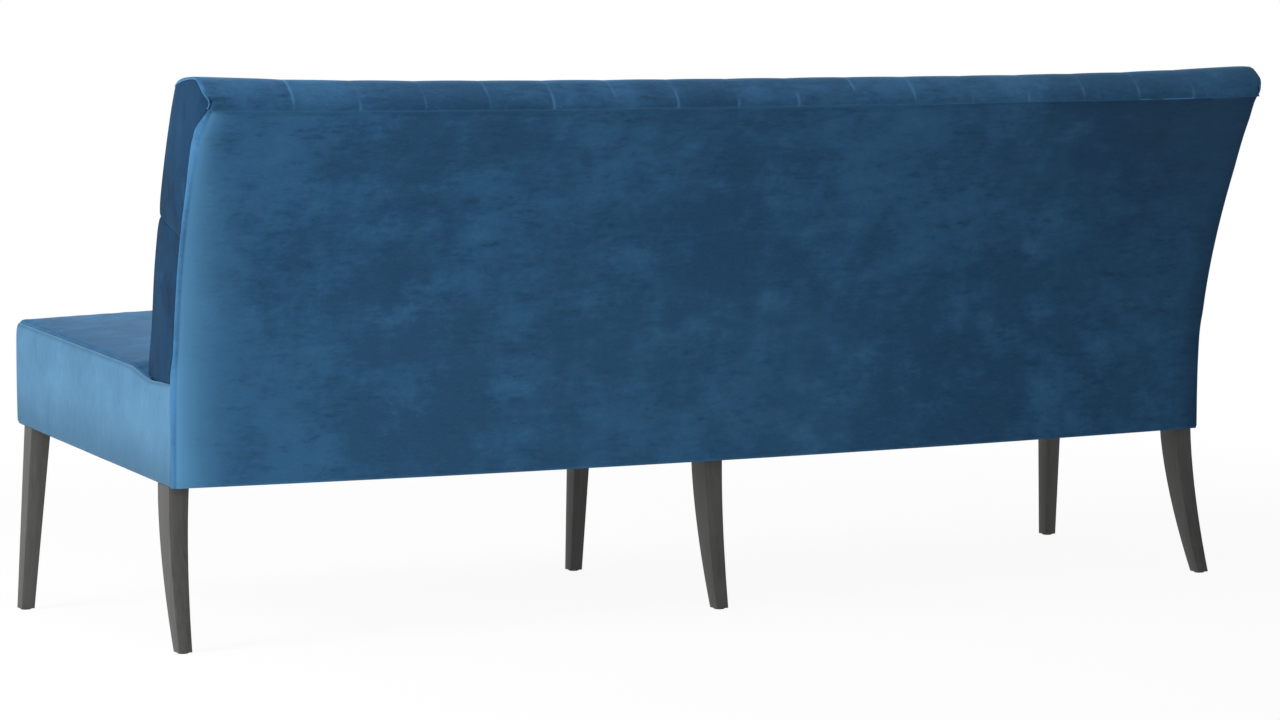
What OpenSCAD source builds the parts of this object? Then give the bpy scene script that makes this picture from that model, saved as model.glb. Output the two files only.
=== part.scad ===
// Upholstered banquette bench: a long velvet bench on six dark wooden legs, with a swept back.
// The back is a curved slab. Every piece of it is placed by how far it lies in front of the
// outside back, and by its height along that curve. The seat rises a little towards the front.

/* [Bench] */
// Length of the bench across the back
bench_length = 2000; // [1700:10:2400]
// How much wider the seat is at the front than at the back, on each side
seat_flare = 60; // [20:1:80]
// Depth of the seat body from its front panel to the outside back
seat_depth = 570; // [520:5:640]
// Height of the seat body's underside above the floor, at the back
underside_height = 262; // [220:1:300]
// How much higher the underside is at the front than at the back
seat_rise = 60; // [30:1:80]
// Height of the seat's side panels
border_height = 168; // [155:1:200]
// Radius of the seat's two front corners in plan
front_corner_radius = 16; // [12:1:40]

/* [Back] */
// Radius of the swept outside back
back_radius = 1067; // [950:1:1300]
// Height above the floor where the back starts to sweep
sweep_height = 300; // [280:1:330]
// Length of the sweep from there to the seam under the top roll
roll_seam = 601; // [560:1:660]
// Height along the sweep of the seam between the plain and the buttoned back
middle_seam = 370; // [350:1:390]
// Thickness of the back at its padded edges
back_thickness = 103; // [88:1:115]
// How far the padding swells in the middle of the back
back_crown = 10; // [4:1:14]
// How high the top roll stands above its seam at the ends of the back
roll_height = 27; // [24:1:36]
// How much lower the top roll lies along the middle of the back
roll_sag = 13; // [0:0.5:14]
// How far the top roll leans forward: its fall in height for each mm in front of its middle
roll_lean = 0.62; // [0.5:0.01:0.7]

/* [Buttoning] */
// Number of pleats that run over the top of the back
pleat_count = 16; // [12:1:18]
// Distance from each end of the back to its first pleat
pleat_margin = 141; // [110:1:180]
// Height of the lowest row of buttons above the middle seam
lowest_row = 52; // [46:1:60]
// Distance of the highest row of buttons below the roll seam
highest_row = 61; // [55:1:68]
// Depth of the buttoning below the padded surface
button_depth = 24; // [14:1:26]
// Diameter of a covered button
button_diameter = 18; // [14:1:22]

/* [Seat cushion] */
// Height of the seat's top panel where it rolls over its edge seam
seat_edge_roll = 14; // [8:1:20]
// Extra height of the seat's crown in the middle
seat_crown = 22; // [10:1:35]

/* [Covers] */
// Thickness of the velvet and its felt over the frame
cover_thickness = 4; // [3:0.5:6]
// Thickness of the outside back's cover
back_cover_thickness = 3; // [2:0.5:4]
// Thickness of the hardboard behind the outside back's cover
back_board_thickness = 3; // [2:0.5:4]
// Thickness of the black dust cover under the seat
dust_cover_thickness = 1; // [0.8:0.1:2]
// Clearance between pieces that lie against each other
clearance = 0.3; // [0.2:0.05:0.5]

/* [Frame] */
// Thickness of the front, rear and end rails
rail_thickness = 18; // [16:1:24]
// Height of the front, end and cross rails
rail_height = 95; // [80:1:110]
// Height of the rear rail
rear_rail_height = 150; // [120:1:155]
// Thickness of the cross rails and of the back's uprights
upright_width = 26; // [20:1:32]
// Depth from the outside back to the front of the uprights
upright_front = 55; // [48:1:60]
// Thickness of the tie rails let into the uprights
tie_rail_thickness = 12; // [9:1:18]
// Width of the tie rails
tie_rail_width = 36; // [30:1:45]
// Depth of the back's top rail along the sweep
top_rail_width = 45; // [35:1:55]
// Thickness of the plywood cheek at each end of the back
cheek_thickness = 12; // [9:1:18]
// Leg length of the glued corner blocks
corner_block_size = 60; // [45:1:75]
// Diameter of the leg bolts
bolt_diameter = 8; // [6:1:10]

/* [Webbing and foam] */
// Width of one elastic webbing strap
strap_width = 60; // [40:5:80]
// Thickness of the webbing
strap_thickness = 2; // [1.5:0.1:3]
// Number of seat straps, front to back
seat_strap_count = 14; // [10:1:16]
// Thickness of the foam behind the back's covers
back_foam_thickness = 20; // [8:1:24]

/* [Legs] */
// Width of a leg's top along the bench
leg_top_width = 35; // [30:1:44]
// Depth of a front leg's top
front_leg_top_depth = 35; // [34:1:46]
// Depth of a rear leg's top
rear_leg_top_depth = 48; // [40:1:54]
// Width and depth of a leg at its foot
leg_foot_size = 23; // [20:1:30]
// How far a rear end leg's foot is swept back behind its top
rear_leg_sweep = 51; // [20:1:60]
// The same for the rear middle leg, which is swept less
middle_leg_sweep = 33; // [10:1:60]
// How far a front leg's foot stands forward of its top
front_leg_lean = 23; // [0:1:30]
// How much further back the front middle leg stands than the front end legs
middle_leg_setback = 16; // [0:1:24]
// How far the feet of the front end legs stand outward of their tops
front_leg_splay = 9; // [0:1:12]
// The same for the rear end legs
rear_leg_splay = 6; // [0:1:12]
// Height of the square block of a leg inside the seat frame
leg_block_height = 88; // [70:1:95]
// Diameter of a foot glide
glide_diameter = 19; // [15:1:22]
// Height of a foot glide
glide_height = 2; // [1:0.5:8]

/* [Hidden] */

// Colours of the finishes
velvet = [0.13, 0.33, 0.52];
velvet_light = [0.24, 0.46, 0.66];
leg_stain = [0.17, 0.15, 0.14];
hardwood = [0.76, 0.60, 0.40];
plywood = [0.80, 0.68, 0.48];
foam = [0.93, 0.88, 0.70];
webbing = [0.20, 0.20, 0.22];
lining = [0.10, 0.10, 0.11];
steel = [0.62, 0.63, 0.65];
glide_plastic = [0.36, 0.26, 0.18];

$fn = 48;
half_length = bench_length / 2;
// The bench is centred between its front panel and the back of its top roll
roll_angle = (roll_seam + roll_height / 2) * 180 / (PI * back_radius);
sweep_reach = back_radius * (1 - cos(roll_angle));
rear_y = (seat_depth - sweep_reach) / 2;
front_y = rear_y - seat_depth;
sweep_centre_y = rear_y + back_radius;
slope = seat_rise / seat_depth;
far = 4 * bench_length;

// Underside of the seat body, and half its width, at a place from front to back
function underside(y) = underside_height + slope * (rear_y - y);
function half_width(y) = half_length + seat_flare * (rear_y - y) / seat_depth;

// A point of the back: how far in front of the outside back, and its length along the sweep
function sweep_angle(s) = max(s, 0) * 180 / (PI * back_radius);
function back_y(off, s) = sweep_centre_y - (back_radius + off) * cos(sweep_angle(s));
function back_z(off, s) = sweep_height + min(s, 0) + (back_radius + off) * sin(sweep_angle(s));
function back_at(off, s) = [back_y(off, s), back_z(off, s)];

// Layers of the back, counted from the outside
board_front = back_cover_thickness + clearance + back_board_thickness;
upright_back = board_front + clearance;
foam_back = upright_front + strap_thickness + 2 * clearance;
foam_front = foam_back + back_foam_thickness;
cover_back = foam_front + clearance;
rear_rail_front = back_cover_thickness + clearance + rail_thickness;
cover_half = half_length - cover_thickness - clearance;
seam_tuck = 9;
end_round = 26;

// Heights along the sweep
seat_back_height = underside_height + border_height;
panel_foot = back_radius * asin((seat_back_height - sweep_height) / back_radius) * PI / 180;
top_rail_drop = 12;
top_rail_top = roll_seam - top_rail_drop;
top_rail_foot = top_rail_top - top_rail_width;
middle_rail_foot = middle_seam - tie_rail_width / 2;
bottom_rail_foot = panel_foot + tie_rail_width / 3;

// A solid of the seat: a plan outline between two heights above the sloping underside
module seat_layer(outline, low, high) {
    intersection() {
        linear_extrude(far) polygon(outline);
        rotate([90, 0, 90])
            linear_extrude(far, center = true)
                polygon([
                    [rear_y + far, underside(rear_y + far) + low],
                    [front_y - far, underside(front_y - far) + low],
                    [front_y - far, underside(front_y - far) + high],
                    [rear_y + far, underside(rear_y + far) + high]
                ]);
    }
}

// A solid of the back: an outline of [off, s] points between two places along the bench
module back_prism(outline, x0, x1) {
    translate([x0, 0, 0]) rotate([90, 0, 90]) linear_extrude(x1 - x0)
        polygon([for (p = outline) back_at(p[0], p[1])]);
}

// Outline of a band along the sweep, with a point every few degrees
band_steps = 14;
function band(off0, off1, s0, s1) = concat(
    [for (i = [0:band_steps]) [off0, s0 + (s1 - s0) * i / band_steps]],
    [for (i = [band_steps:-1:0]) [off1, s0 + (s1 - s0) * i / band_steps]]
);

// Places of the legs: the outer corner of each end leg stays inside the covers
leg_inset = cover_thickness + clearance;
front_leg_front = front_y + leg_inset + rail_thickness + clearance;
front_leg_back = front_leg_front + front_leg_top_depth;
rear_leg_back = rear_y - rear_rail_front - clearance;
rear_leg_front = rear_leg_back - rear_leg_top_depth;
front_leg_x = half_width(front_leg_back) - leg_inset - leg_top_width;
rear_leg_x = half_width(rear_leg_back) - leg_inset - leg_top_width;
function front_leg_y(side) = front_leg_front + (side == 0 ? middle_leg_setback : 0);
function sweep_of(side) = side == 0 ? middle_leg_sweep : rear_leg_sweep;

// Side outline of a leg in [y, z]: a square block over a shank that curves as its foot sweeps
// away. A block that reaches further forward than its shank has a heel above the underside.
shank_steps = 10;
function shank(y_top, y_foot, bend) = [for (i = [0:shank_steps])
    let (t = i / shank_steps) [y_top + (y_foot - y_top) * pow(t, bend), t]];
module leg_side(block_front, front_top, back_top, front_foot, back_foot, bend) {
    top = underside(back_top);
    heel = underside(block_front);
    block = underside(front_top) + leg_block_height;
    front_line = shank(front_top, front_foot, bend);
    back_line = shank(back_top, back_foot, bend);
    polygon(concat(
        [[block_front, block], [block_front, heel], [front_top, heel]],
        [for (p = front_line) [p[0], top - p[1] * (top - glide_height)]],
        [for (i = [shank_steps:-1:0]) [back_line[i][0], top - back_line[i][1] * (top - glide_height)]],
        [[back_top, block]]
    ));
}

// One leg: its side outline meets its front outline, which tapers on the inner face and splays
// outward. side is 1 for a right leg, -1 for a left leg and 0 for a middle leg, which tapers on
// both faces and stands straight. The bolts' heads are sunk into its inner face, head_face.
bolt_hole = bolt_diameter + 2 * clearance;
head_height = 5;
head_depth = head_height + clearance;
module leg(side, inner_x, block_front, front_top, back_top, front_foot, back_foot, splay, bend, head_face) {
    taper = leg_top_width - leg_foot_size;
    x0 = side == 0 ? -leg_top_width / 2 : inner_x;
    top = underside(front_top);
    low_inner = side == 0 ? taper / 2 : taper + splay;
    low_outer = side == 0 ? taper / 2 : -splay;
    mirror([side < 0 ? 1 : 0, 0, 0]) difference() {
        intersection() {
            translate([x0 - 1, 0, 0]) rotate([90, 0, 90]) linear_extrude(leg_top_width + splay + 2)
                leg_side(block_front, front_top, back_top, front_foot, back_foot, bend);
            translate([0, rear_y + seat_depth, 0]) rotate([90, 0, 0]) linear_extrude(3 * seat_depth)
                polygon([
                    [x0 + low_inner, 0],
                    [x0, top],
                    [x0, top + 2 * leg_block_height],
                    [x0 + leg_top_width, top + 2 * leg_block_height],
                    [x0 + leg_top_width, top],
                    [x0 + leg_top_width - low_outer, 0]
                ]);
        }
        for (k = [0, 1]) translate([x0 + leg_top_width / 2, 0, bolt_z(front_top, back_top, k)]) {
            rotate([90, 0, 0]) cylinder(d = bolt_hole, h = far, center = true);
            translate([0, head_face, 0]) rotate([90, 0, 0])
                cylinder(d = 2 * bolt_diameter, h = 2 * head_depth, center = true);
        }
    }
}

// Height of the lower (0) and upper (1) bolt through a leg's block
bolt_places = [0.3, 0.72];
function bolt_z(front_top, back_top, k) =
    underside((front_top + back_top) / 2) + leg_block_height * bolt_places[k];

// A straight leg has a bend of 1, and a higher one keeps the sweep for the foot
sweep_bend = 1.7;
module front_leg(side) color(leg_stain) let (y = front_leg_y(side), toe = y - front_leg_lean)
    leg(side, front_leg_x, front_leg_front, y, y + front_leg_top_depth,
        toe, toe + leg_foot_size, front_leg_splay, 1, y + front_leg_top_depth);
module rear_leg(side) color(leg_stain) let (heel = rear_leg_back + sweep_of(side))
    leg(side, rear_leg_x, rear_leg_front, rear_leg_front, rear_leg_back,
        heel - leg_foot_size, heel, rear_leg_splay, sweep_bend, rear_leg_front);

// Middle of each foot
foot_front_x = front_leg_x + leg_top_width + front_leg_splay - leg_foot_size / 2;
foot_rear_x = rear_leg_x + leg_top_width + rear_leg_splay - leg_foot_size / 2;
glide_edge = glide_height / 2;

module foot_glides() color(glide_plastic)
    for (side = [-1, 0, 1], p = [
        [foot_front_x, front_leg_y(side) - front_leg_lean + leg_foot_size / 2],
        [foot_rear_x, rear_leg_back + sweep_of(side) - leg_foot_size / 2]
    ]) translate([side * p[0], p[1], 0])
        rotate_extrude() polygon([
            [0, 0], [glide_diameter / 2 - glide_edge, 0], [glide_diameter / 2, glide_edge],
            [glide_diameter / 2, glide_height], [0, glide_height]
        ]);

// Hexagon-headed bolts, through each leg's block into its rail
bolt_reach = 0.7 * rail_thickness;
module leg_bolt(x, y_head, y_tip, z) {
    turn = y_tip > y_head ? -90 : 90;
    translate([x, y_head, z]) rotate([turn, 0, 0]) {
        cylinder(d = bolt_diameter, h = abs(y_tip - y_head));
        translate([0, 0, -head_height]) cylinder(d = 1.8 * bolt_diameter, h = head_height, $fn = 6);
    }
}
module leg_bolts() color(steel) for (side = [-1, 0, 1], k = [0, 1]) {
    front_back = front_leg_y(side) + front_leg_top_depth;
    leg_bolt(side * (front_leg_x + leg_top_width / 2), front_back - head_depth,
        front_leg_front - bolt_reach, bolt_z(front_leg_y(side), front_back, k));
    leg_bolt(side * (rear_leg_x + leg_top_width / 2), rear_leg_front + head_depth,
        rear_leg_back + bolt_reach, bolt_z(rear_leg_front, rear_leg_back, k));
}
module bolt_holes() for (side = [-1, 0, 1], k = [0, 1]) {
    for (p = [
        [front_leg_x, front_leg_y(side), front_leg_y(side) + front_leg_top_depth],
        [rear_leg_x, rear_leg_front, rear_leg_back]
    ]) translate([side * (p[0] + leg_top_width / 2), 0, bolt_z(p[1], p[2], k)])
        rotate([90, 0, 0]) cylinder(d = bolt_hole, h = far, center = true);
}

// Seat frame: front and rear rails run the full length outside the legs
corner_round = 5;
front_rail_back = front_leg_front - clearance;
rear_rail_face = rear_leg_back + clearance;
function rail_end(y) = half_width(y) - leg_inset;
module seat_front_rail() color(hardwood) difference() {
    seat_layer([
        [-rail_end(front_y + leg_inset) + front_corner_radius, front_y + leg_inset],
        [rail_end(front_y + leg_inset) - front_corner_radius, front_y + leg_inset],
        [rail_end(front_rail_back), front_rail_back],
        [-rail_end(front_rail_back), front_rail_back]
    ], 0, rail_height);
    bolt_holes();
}
module seat_rear_rail() color(hardwood) difference() {
    seat_layer([
        [-rail_end(rear_rail_face), rear_rail_face],
        [rail_end(rear_rail_face), rear_rail_face],
        [half_length - corner_round - clearance, rear_y - back_cover_thickness - clearance],
        [-half_length + corner_round + clearance, rear_y - back_cover_thickness - clearance]
    ], 0, rear_rail_height);
    bolt_holes();
}
module seat_end_rail(side) color(hardwood) mirror([side < 0 ? 1 : 0, 0, 0])
    seat_layer([for (p = [[0, front_leg_back], [0, rear_leg_front], [1, rear_leg_front], [1, front_leg_back]])
        let (y = p[1] + (p[1] > 0 ? -clearance : clearance)) [rail_end(y) - p[0] * rail_thickness, y]],
        0, rail_height);

// Cross rails join the front and rear rails; the middle one stands between the middle legs
module cross_rail(x) color(hardwood) {
    y0 = (x == 0 ? front_leg_y(0) + front_leg_top_depth : front_rail_back) + clearance;
    y1 = (x == 0 ? rear_leg_front : rear_rail_face) - clearance;
    seat_layer([
        [x - upright_width / 2, y0], [x + upright_width / 2, y0],
        [x + upright_width / 2, y1], [x - upright_width / 2, y1]
    ], 0, rail_height);
}

// Triangular blocks glued into the corners behind the end legs
block_low = 0.25 * rail_height;
block_high = 0.9 * rail_height;
module corner_blocks() color(hardwood) for (side = [-1, 1]) mirror([side < 0 ? 1 : 0, 0, 0]) {
    fx = front_leg_x - clearance;
    rx = rear_leg_x - clearance;
    seat_layer([
        [fx, front_rail_back + clearance], [fx - corner_block_size, front_rail_back + clearance],
        [fx, front_rail_back + clearance + front_leg_top_depth]
    ], block_low, block_high);
    seat_layer([
        [rx, rear_rail_face - clearance], [rx - corner_block_size, rear_rail_face - clearance],
        [rx, rear_rail_face - clearance - rear_leg_top_depth]
    ], block_low, block_high);
}

// Elastic straps, front to back over the rails, stapled to the front rail and to the rear rail's face
strap_low = rail_height + clearance;
strap_high = strap_low + strap_thickness;
strap_span = bench_length - 2 * (rail_thickness + leg_inset + strap_width);
module seat_webbing() color(webbing) for (i = [0:seat_strap_count - 1]) {
    x = -strap_span / 2 + strap_span * i / (seat_strap_count - 1);
    seat_layer([
        [x - strap_width / 2, front_y + leg_inset], [x + strap_width / 2, front_y + leg_inset],
        [x + strap_width / 2, rear_rail_face - clearance], [x - strap_width / 2, rear_rail_face - clearance]
    ], strap_low, strap_high);
}

// Black non-woven cloth under the frame, cut out round the legs
dust_cover_margin = 6;
module dust_cover() color(lining) {
    edge = leg_inset + dust_cover_margin;
    difference() {
        seat_layer([
            [-half_width(front_y) + edge + front_corner_radius, front_y + edge],
            [half_width(front_y) - edge - front_corner_radius, front_y + edge],
            [half_length - edge, rear_y - edge], [-half_length + edge, rear_y - edge]
        ], -dust_cover_thickness - clearance, -clearance);
        for (side = [-1, 0, 1]) {
            leg_hole(side * (front_leg_x + leg_top_width / 2), front_leg_y(side),
                front_leg_y(side) + front_leg_top_depth);
            leg_hole(side * (rear_leg_x + leg_top_width / 2), rear_leg_front, rear_leg_back);
        }
    }
}
hole_gap = 2;
module leg_hole(x, y0, y1) translate([x - leg_top_width / 2 - hole_gap, y0 - hole_gap, 0])
    cube([leg_top_width + 2 * hole_gap, y1 - y0 + 2 * hole_gap, 2 * underside_height]);

// Plan outline of the seat body, drawn in by a margin, with rounded front corners
corner_steps = 8;
function plan_corner(side, margin) = [for (i = [0:corner_steps])
    let (a = 90 * (side > 0 ? i : corner_steps - i) / corner_steps,
         r = max(front_corner_radius - margin, 1),
         y = front_y + margin + r * (1 - sin(a)),
         inset = r * (1 - cos(a)))
    [side * (half_width(y) - margin - inset), y]];
function seat_plan(margin, back_y_line) = concat(
    [[half_width(back_y_line) - margin, back_y_line]],
    plan_corner(1, margin), plan_corner(-1, margin),
    [[-half_width(back_y_line) + margin, back_y_line]]
);

// Foam block of the seat, under the top cover and inside the panels. The seat reaches back to
// the lower back pad, and meets it this far above the pad's foot.
seat_top_at_back = 30;
seat_back_line = back_y(lower_off(0, seat_top_at_back / (middle_seam - panel_foot)) + 2 * clearance,
    panel_foot + seat_top_at_back);
foam_top = border_height - clearance;
module seat_foam() color(foam)
    seat_layer(seat_plan(leg_inset, seat_back_line), strap_high + clearance, foam_top);

// Velvet panels round the seat, of one height; the side panels turn the front corners
panel_seam = half_width(front_y) - 1.5 * front_corner_radius;
module seat_border() intersection() {
    difference() {
        seat_layer(seat_plan(0, rear_y - turn_depth(0) - clearance), 0, border_height);
        seat_layer(seat_plan(cover_thickness, rear_y + 1), -1, border_height + 1);
    }
    side_profile();
}
// Side outline of the panels: the top edge dips to a level seat for the end of the back
dip_y = back_y(back_thickness, panel_foot);
dip_run = 34;
module side_profile() rotate([90, 0, 90]) linear_extrude(far, center = true) polygon([
    [front_y - 1, 0], [rear_y + 1, 0], [rear_y + 1, seat_back_height], [dip_y, seat_back_height],
    [dip_y - dip_run * 0.4, seat_back_height + 3],
    [dip_y - dip_run, underside(dip_y - dip_run) + border_height],
    [front_y - 1, underside(front_y - 1) + border_height]
]);
module seat_front_panel() color(velvet) intersection() {
    seat_border();
    translate([-panel_seam, front_y - 1, 0]) cube([2 * panel_seam, 40, far]);
}
module seat_side_panel(side) color(velvet_light) mirror([side < 0 ? 1 : 0, 0, 0]) difference() {
    intersection() {
        seat_border();
        translate([0, front_y - 1, 0]) cube(far);
    }
    translate([-1, front_y - 2, -1]) cube([panel_seam + clearance + 1, front_corner_radius + 40, far]);
}

// Top panel of the seat: a crowned pad whose edges roll down to the double-stitched seam
seat_columns = [for (i = [-14:14]) sin(i * 90 / 14) * 0.35 + i / 14 * 0.65];
seat_rows = concat(
    [0, 0.07, 0.25, 0.55, 1] * front_corner_radius,
    [for (i = [1:8]) front_corner_radius + (seat_back_line - front_y - front_corner_radius) * i / 8]
);
function corner_inset(d) = d >= front_corner_radius ? 0
    : front_corner_radius - sqrt(front_corner_radius * (2 * d) - d * d + 0.001);
function roll(t) = sqrt(max(0, 1 - pow(1 - min(1, max(0, t)), 2)));
function seat_height(u, d) =
    let (run = 2.2 * seat_edge_roll, half = half_width(front_y + d) - corner_inset(d),
         side = roll((1 - abs(u)) * half / run), front = roll(d / run),
         span = seat_back_line - front_y)
    border_height + clearance + 2 + seat_edge_roll * min(side, front)
        + seat_crown * (1 - pow(u, 4)) * sin(180 * min(1, 0.08 + 0.8 * d / span));
function seat_point(u, d, lift) = let (y = front_y + d)
    [u * (half_width(y) - corner_inset(d) - 1), y, underside(y) + lift];
module seat_top_cover() color(velvet) padded_sheet(
    [for (d = seat_rows) [for (u = seat_columns) seat_point(u, d, seat_height(u, d))]],
    [for (d = seat_rows) [for (u = [-1, 1]) seat_point(u, d, border_height + clearance)]]
);

// A closed pad: a fine grid on its outside, and two points for each row on its plain inner face.
// turns tells which cells of the grid are folded along their other diagonal.
module padded_sheet(outer, inner, turns = []) {
    nr = len(outer);
    nc = len(outer[0]);
    base = nr * nc;
    polyhedron([each [for (row = outer) each row], each [for (row = inner) each row]], concat(
        [for (j = [0:nr - 2], i = [0:nc - 2]) let (a = j * nc + i)
            each len(turns) > 0 && turns[j][i]
                ? [[a, a + nc, a + nc + 1], [a, a + nc + 1, a + 1]]
                : [[a, a + nc, a + 1], [a + 1, a + nc, a + nc + 1]]],
        [for (j = [0:nr - 2]) let (b = base + 2 * j) each [[b, b + 1, b + 3], [b, b + 3, b + 2]]],
        [for (j = [0:nr - 2]) let (a = j * nc, b = base + 2 * j)
            each [[a, b, b + 2], [a, b + 2, a + nc]]],
        [for (j = [0:nr - 2]) let (a = (j + 1) * nc - 1, b = base + 2 * j + 1)
            each [[a, a + nc, b + 2], [a, b + 2, b]]],
        [concat([for (i = [0:nc - 1]) i], [base + 1, base])],
        [concat([for (i = [nc - 1:-1:0]) (nr - 1) * nc + i], [base + 2 * nr - 2, base + 2 * nr - 1])]
    ));
}

// Curved uprights of the back, rebated over the rear rail and notched for the tie rails
rear_rail_top = underside(rear_y - rear_rail_front) + rear_rail_height + clearance;
function sweep_to(off, z) = back_radius * asin((z - sweep_height) / (back_radius + off)) * PI / 180;
function arc_points(off, s0, s1, n) = [for (i = [0:n]) back_at(off, s0 + (s1 - s0) * i / n)];
upright_steps = 12;
module upright_side(foot_z, top) polygon(concat(
    [[rear_leg_back, foot_z], [rear_leg_back, rear_rail_top]],
    arc_points(upright_back, sweep_to(upright_back, rear_rail_top), top, upright_steps),
    arc_points(upright_front, top, sweep_to(upright_front, foot_z), upright_steps)
));
module upright_solid(x0, x1, foot_z, top) translate([x0, 0, 0]) rotate([90, 0, 90])
    linear_extrude(x1 - x0) upright_side(foot_z, top);
tie_rail_back = upright_front - tie_rail_thickness;
module tie_rail_cut(foot)
    back_prism(band(tie_rail_back, upright_front + 5, foot, foot + tie_rail_width), -half_length, half_length);
module back_upright(x, foot_z) color(hardwood) difference() {
    upright_solid(x - upright_width / 2, x + upright_width / 2, foot_z, top_rail_foot);
    tie_rail_cut(middle_rail_foot);
    tie_rail_cut(bottom_rail_foot);
}
leg_upright_foot = underside(rear_leg_front) + leg_block_height + clearance;
cross_upright_foot = underside(rear_leg_front) + rail_height + clearance;
cheek_outer = half_length - leg_inset;
cheek_inner = cheek_outer - cheek_thickness;
end_upright_x = cheek_inner - clearance - upright_width / 2;
strap_gap = strap_span / (seat_strap_count - 1);
mid_upright_x = 3 * strap_gap;

// Plywood cheeks close the two ends of the back and carry the end panels
module back_cheek(side) color(plywood) mirror([side < 0 ? 1 : 0, 0, 0])
    upright_solid(cheek_inner, cheek_outer, leg_upright_foot, top_rail_top);

module back_top_rail() color(hardwood)
    back_prism(band(upright_back, upright_front, top_rail_foot, top_rail_top), -cheek_inner, cheek_inner);
module back_tie_rail(foot) color(plywood)
    back_prism(band(tie_rail_back, upright_front, foot, foot + tie_rail_width), -cheek_inner, cheek_inner);

// Elastic straps up the front of the back, stapled to the tie rails and the top rail
module back_webbing() color(webbing) for (i = [0:seat_strap_count - 1]) {
    x = -strap_span / 2 + strap_gap * i;
    back_prism(band(upright_front + clearance, upright_front + clearance + strap_thickness,
        bottom_rail_foot, top_rail_top), x - strap_width / 2, x + strap_width / 2);
}

// Hardboard behind the outside back, and the velvet over it, whose ends turn the two rear corners
module outside_back_board() color(plywood)
    back_prism(band(back_cover_thickness + clearance, board_front,
        sweep_to(0, rear_rail_top) + 1, roll_seam - 1),
        -half_length + corner_round + clearance, half_length - corner_round - clearance);
cover_bottom = underside_height - sweep_height;
turn_steps = 4;
turn_foot = 8;
turn_spread = 17;
turn_start = 330;
// How far the outside back's velvet turns in over the ends of the back: more towards the top
function turn_depth(s) = turn_foot + turn_spread * pow(max(0, s - turn_start) / (roll_seam - turn_start), 1.5);
function cover_turn(side, depth, inner) = [for (i = [0:turn_steps])
    let (a = 90 * i / turn_steps, x = half_length - inner - (corner_round - inner) * (1 - cos(a)))
    [side * x, inner + (depth - inner) * (1 - sin(a))]];
function reversed(list) = [for (i = [len(list) - 1:-1:0]) list[i]];
function cover_section(s) = let (depth = turn_depth(s), t = back_cover_thickness) concat(
    cover_turn(-1, depth, 0), reversed(cover_turn(1, depth, 0)),
    cover_turn(1, depth, t), reversed(cover_turn(-1, depth, t))
);
cover_heights = concat([cover_bottom, 0], [for (i = [1:12]) roll_seam * i / 12]);
module outside_back_cover() color(velvet) {
    n = len(cover_section(0));
    m = len(cover_heights);
    polyhedron(
        [for (s = cover_heights, p = cover_section(s)) [p[0], back_y(p[1], s), back_z(p[1], s)]],
        concat(
            [for (i = [0:n / 2 - 2]) [i, i + 1, n - 2 - i, n - 1 - i]],
            [for (i = [0:n / 2 - 2]) let (b = (m - 1) * n) [b + n - 1 - i, b + n - 2 - i, b + i + 1, b + i]],
            [for (j = [0:m - 2], i = [0:n - 1]) let (k = (i + 1) % n, a = j * n)
                each [[a + i, a + n + i, a + n + k], [a + i, a + n + k, a + k]]]
        )
    );
}

// Foam on the straps, below and above the middle seam, and over the top rail
module lower_back_foam() color(foam) back_prism(
    band(foam_back, foam_front, bottom_rail_foot, middle_seam - clearance), -cheek_inner, cheek_inner);
module upper_back_foam() color(foam) back_prism(
    band(foam_back, foam_front, middle_seam + clearance, roll_foot + 6), -cheek_inner, cheek_inner);
module top_roll_foam() color(foam) back_prism(concat(
    [[roll_middle - 18, top_rail_top + clearance], [roll_middle + 11, top_rail_top + clearance]],
    [for (a = roll_turns) if (a > 60 && a < 140) roll_at(inner_front - 2, inner_rise - 1.5, a)]
), -cheek_outer, cheek_outer);

// The top roll in cross section: front is its reach before its middle and rise its height
roll_middle = 51;
roll_foot = roll_seam - 30;
roll_turns = [0, 20, 46, 76, 106, 132, 152];
outer_front = back_thickness + back_crown - roll_middle;
outer_rise = roll_height + roll_seam - roll_foot;
inner_front = cover_back + 2 - roll_middle;
inner_rise = outer_rise - 25;
function roll_at(front, rise, a) = let (forward = front * sign(cos(a)) * pow(abs(cos(a)), 0.7))
    [roll_middle + forward, roll_foot + (rise - roll_lean * max(0, forward)) * pow(sin(a), 0.7)];

// Padding fades to the ends of the back, and swells between its seams
function end_drop(x) = 8 * (1 - roll((cover_half - abs(x)) / end_round));
function crown_along(x) = 1 - pow(abs(x) / cover_half, 6);
function sag_along(x) = 1 - pow(abs(x) / cover_half, 4);

// Plain lower pad of the inside back
lower_rows = [0, 0.03, 0.12, 0.3, 0.5, 0.7, 0.88, 0.97, 1];
lower_columns = [for (i = [-10:10]) cover_half * sin(9 * i)];
function lower_off(x, t) = back_thickness - seam_tuck * (1 - roll(min(t, 1 - t) / 0.14)) - end_drop(x)
    + back_crown * crown_along(x) * sin(180 * t);
module lower_back_cover() color(velvet) {
    foot = panel_foot + clearance;
    rise = middle_seam - clearance - foot;
    padded_sheet(
        [for (t = lower_rows) [for (x = lower_columns) back_point(x, lower_off(x, t), foot + t * rise)]],
        [for (t = lower_rows) [for (x = [-cover_half, cover_half]) back_point(x, cover_back, foot + t * rise)]]
    );
}
function back_point(x, off, s) = [x, back_y(off, s), back_z(off, s)];

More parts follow.
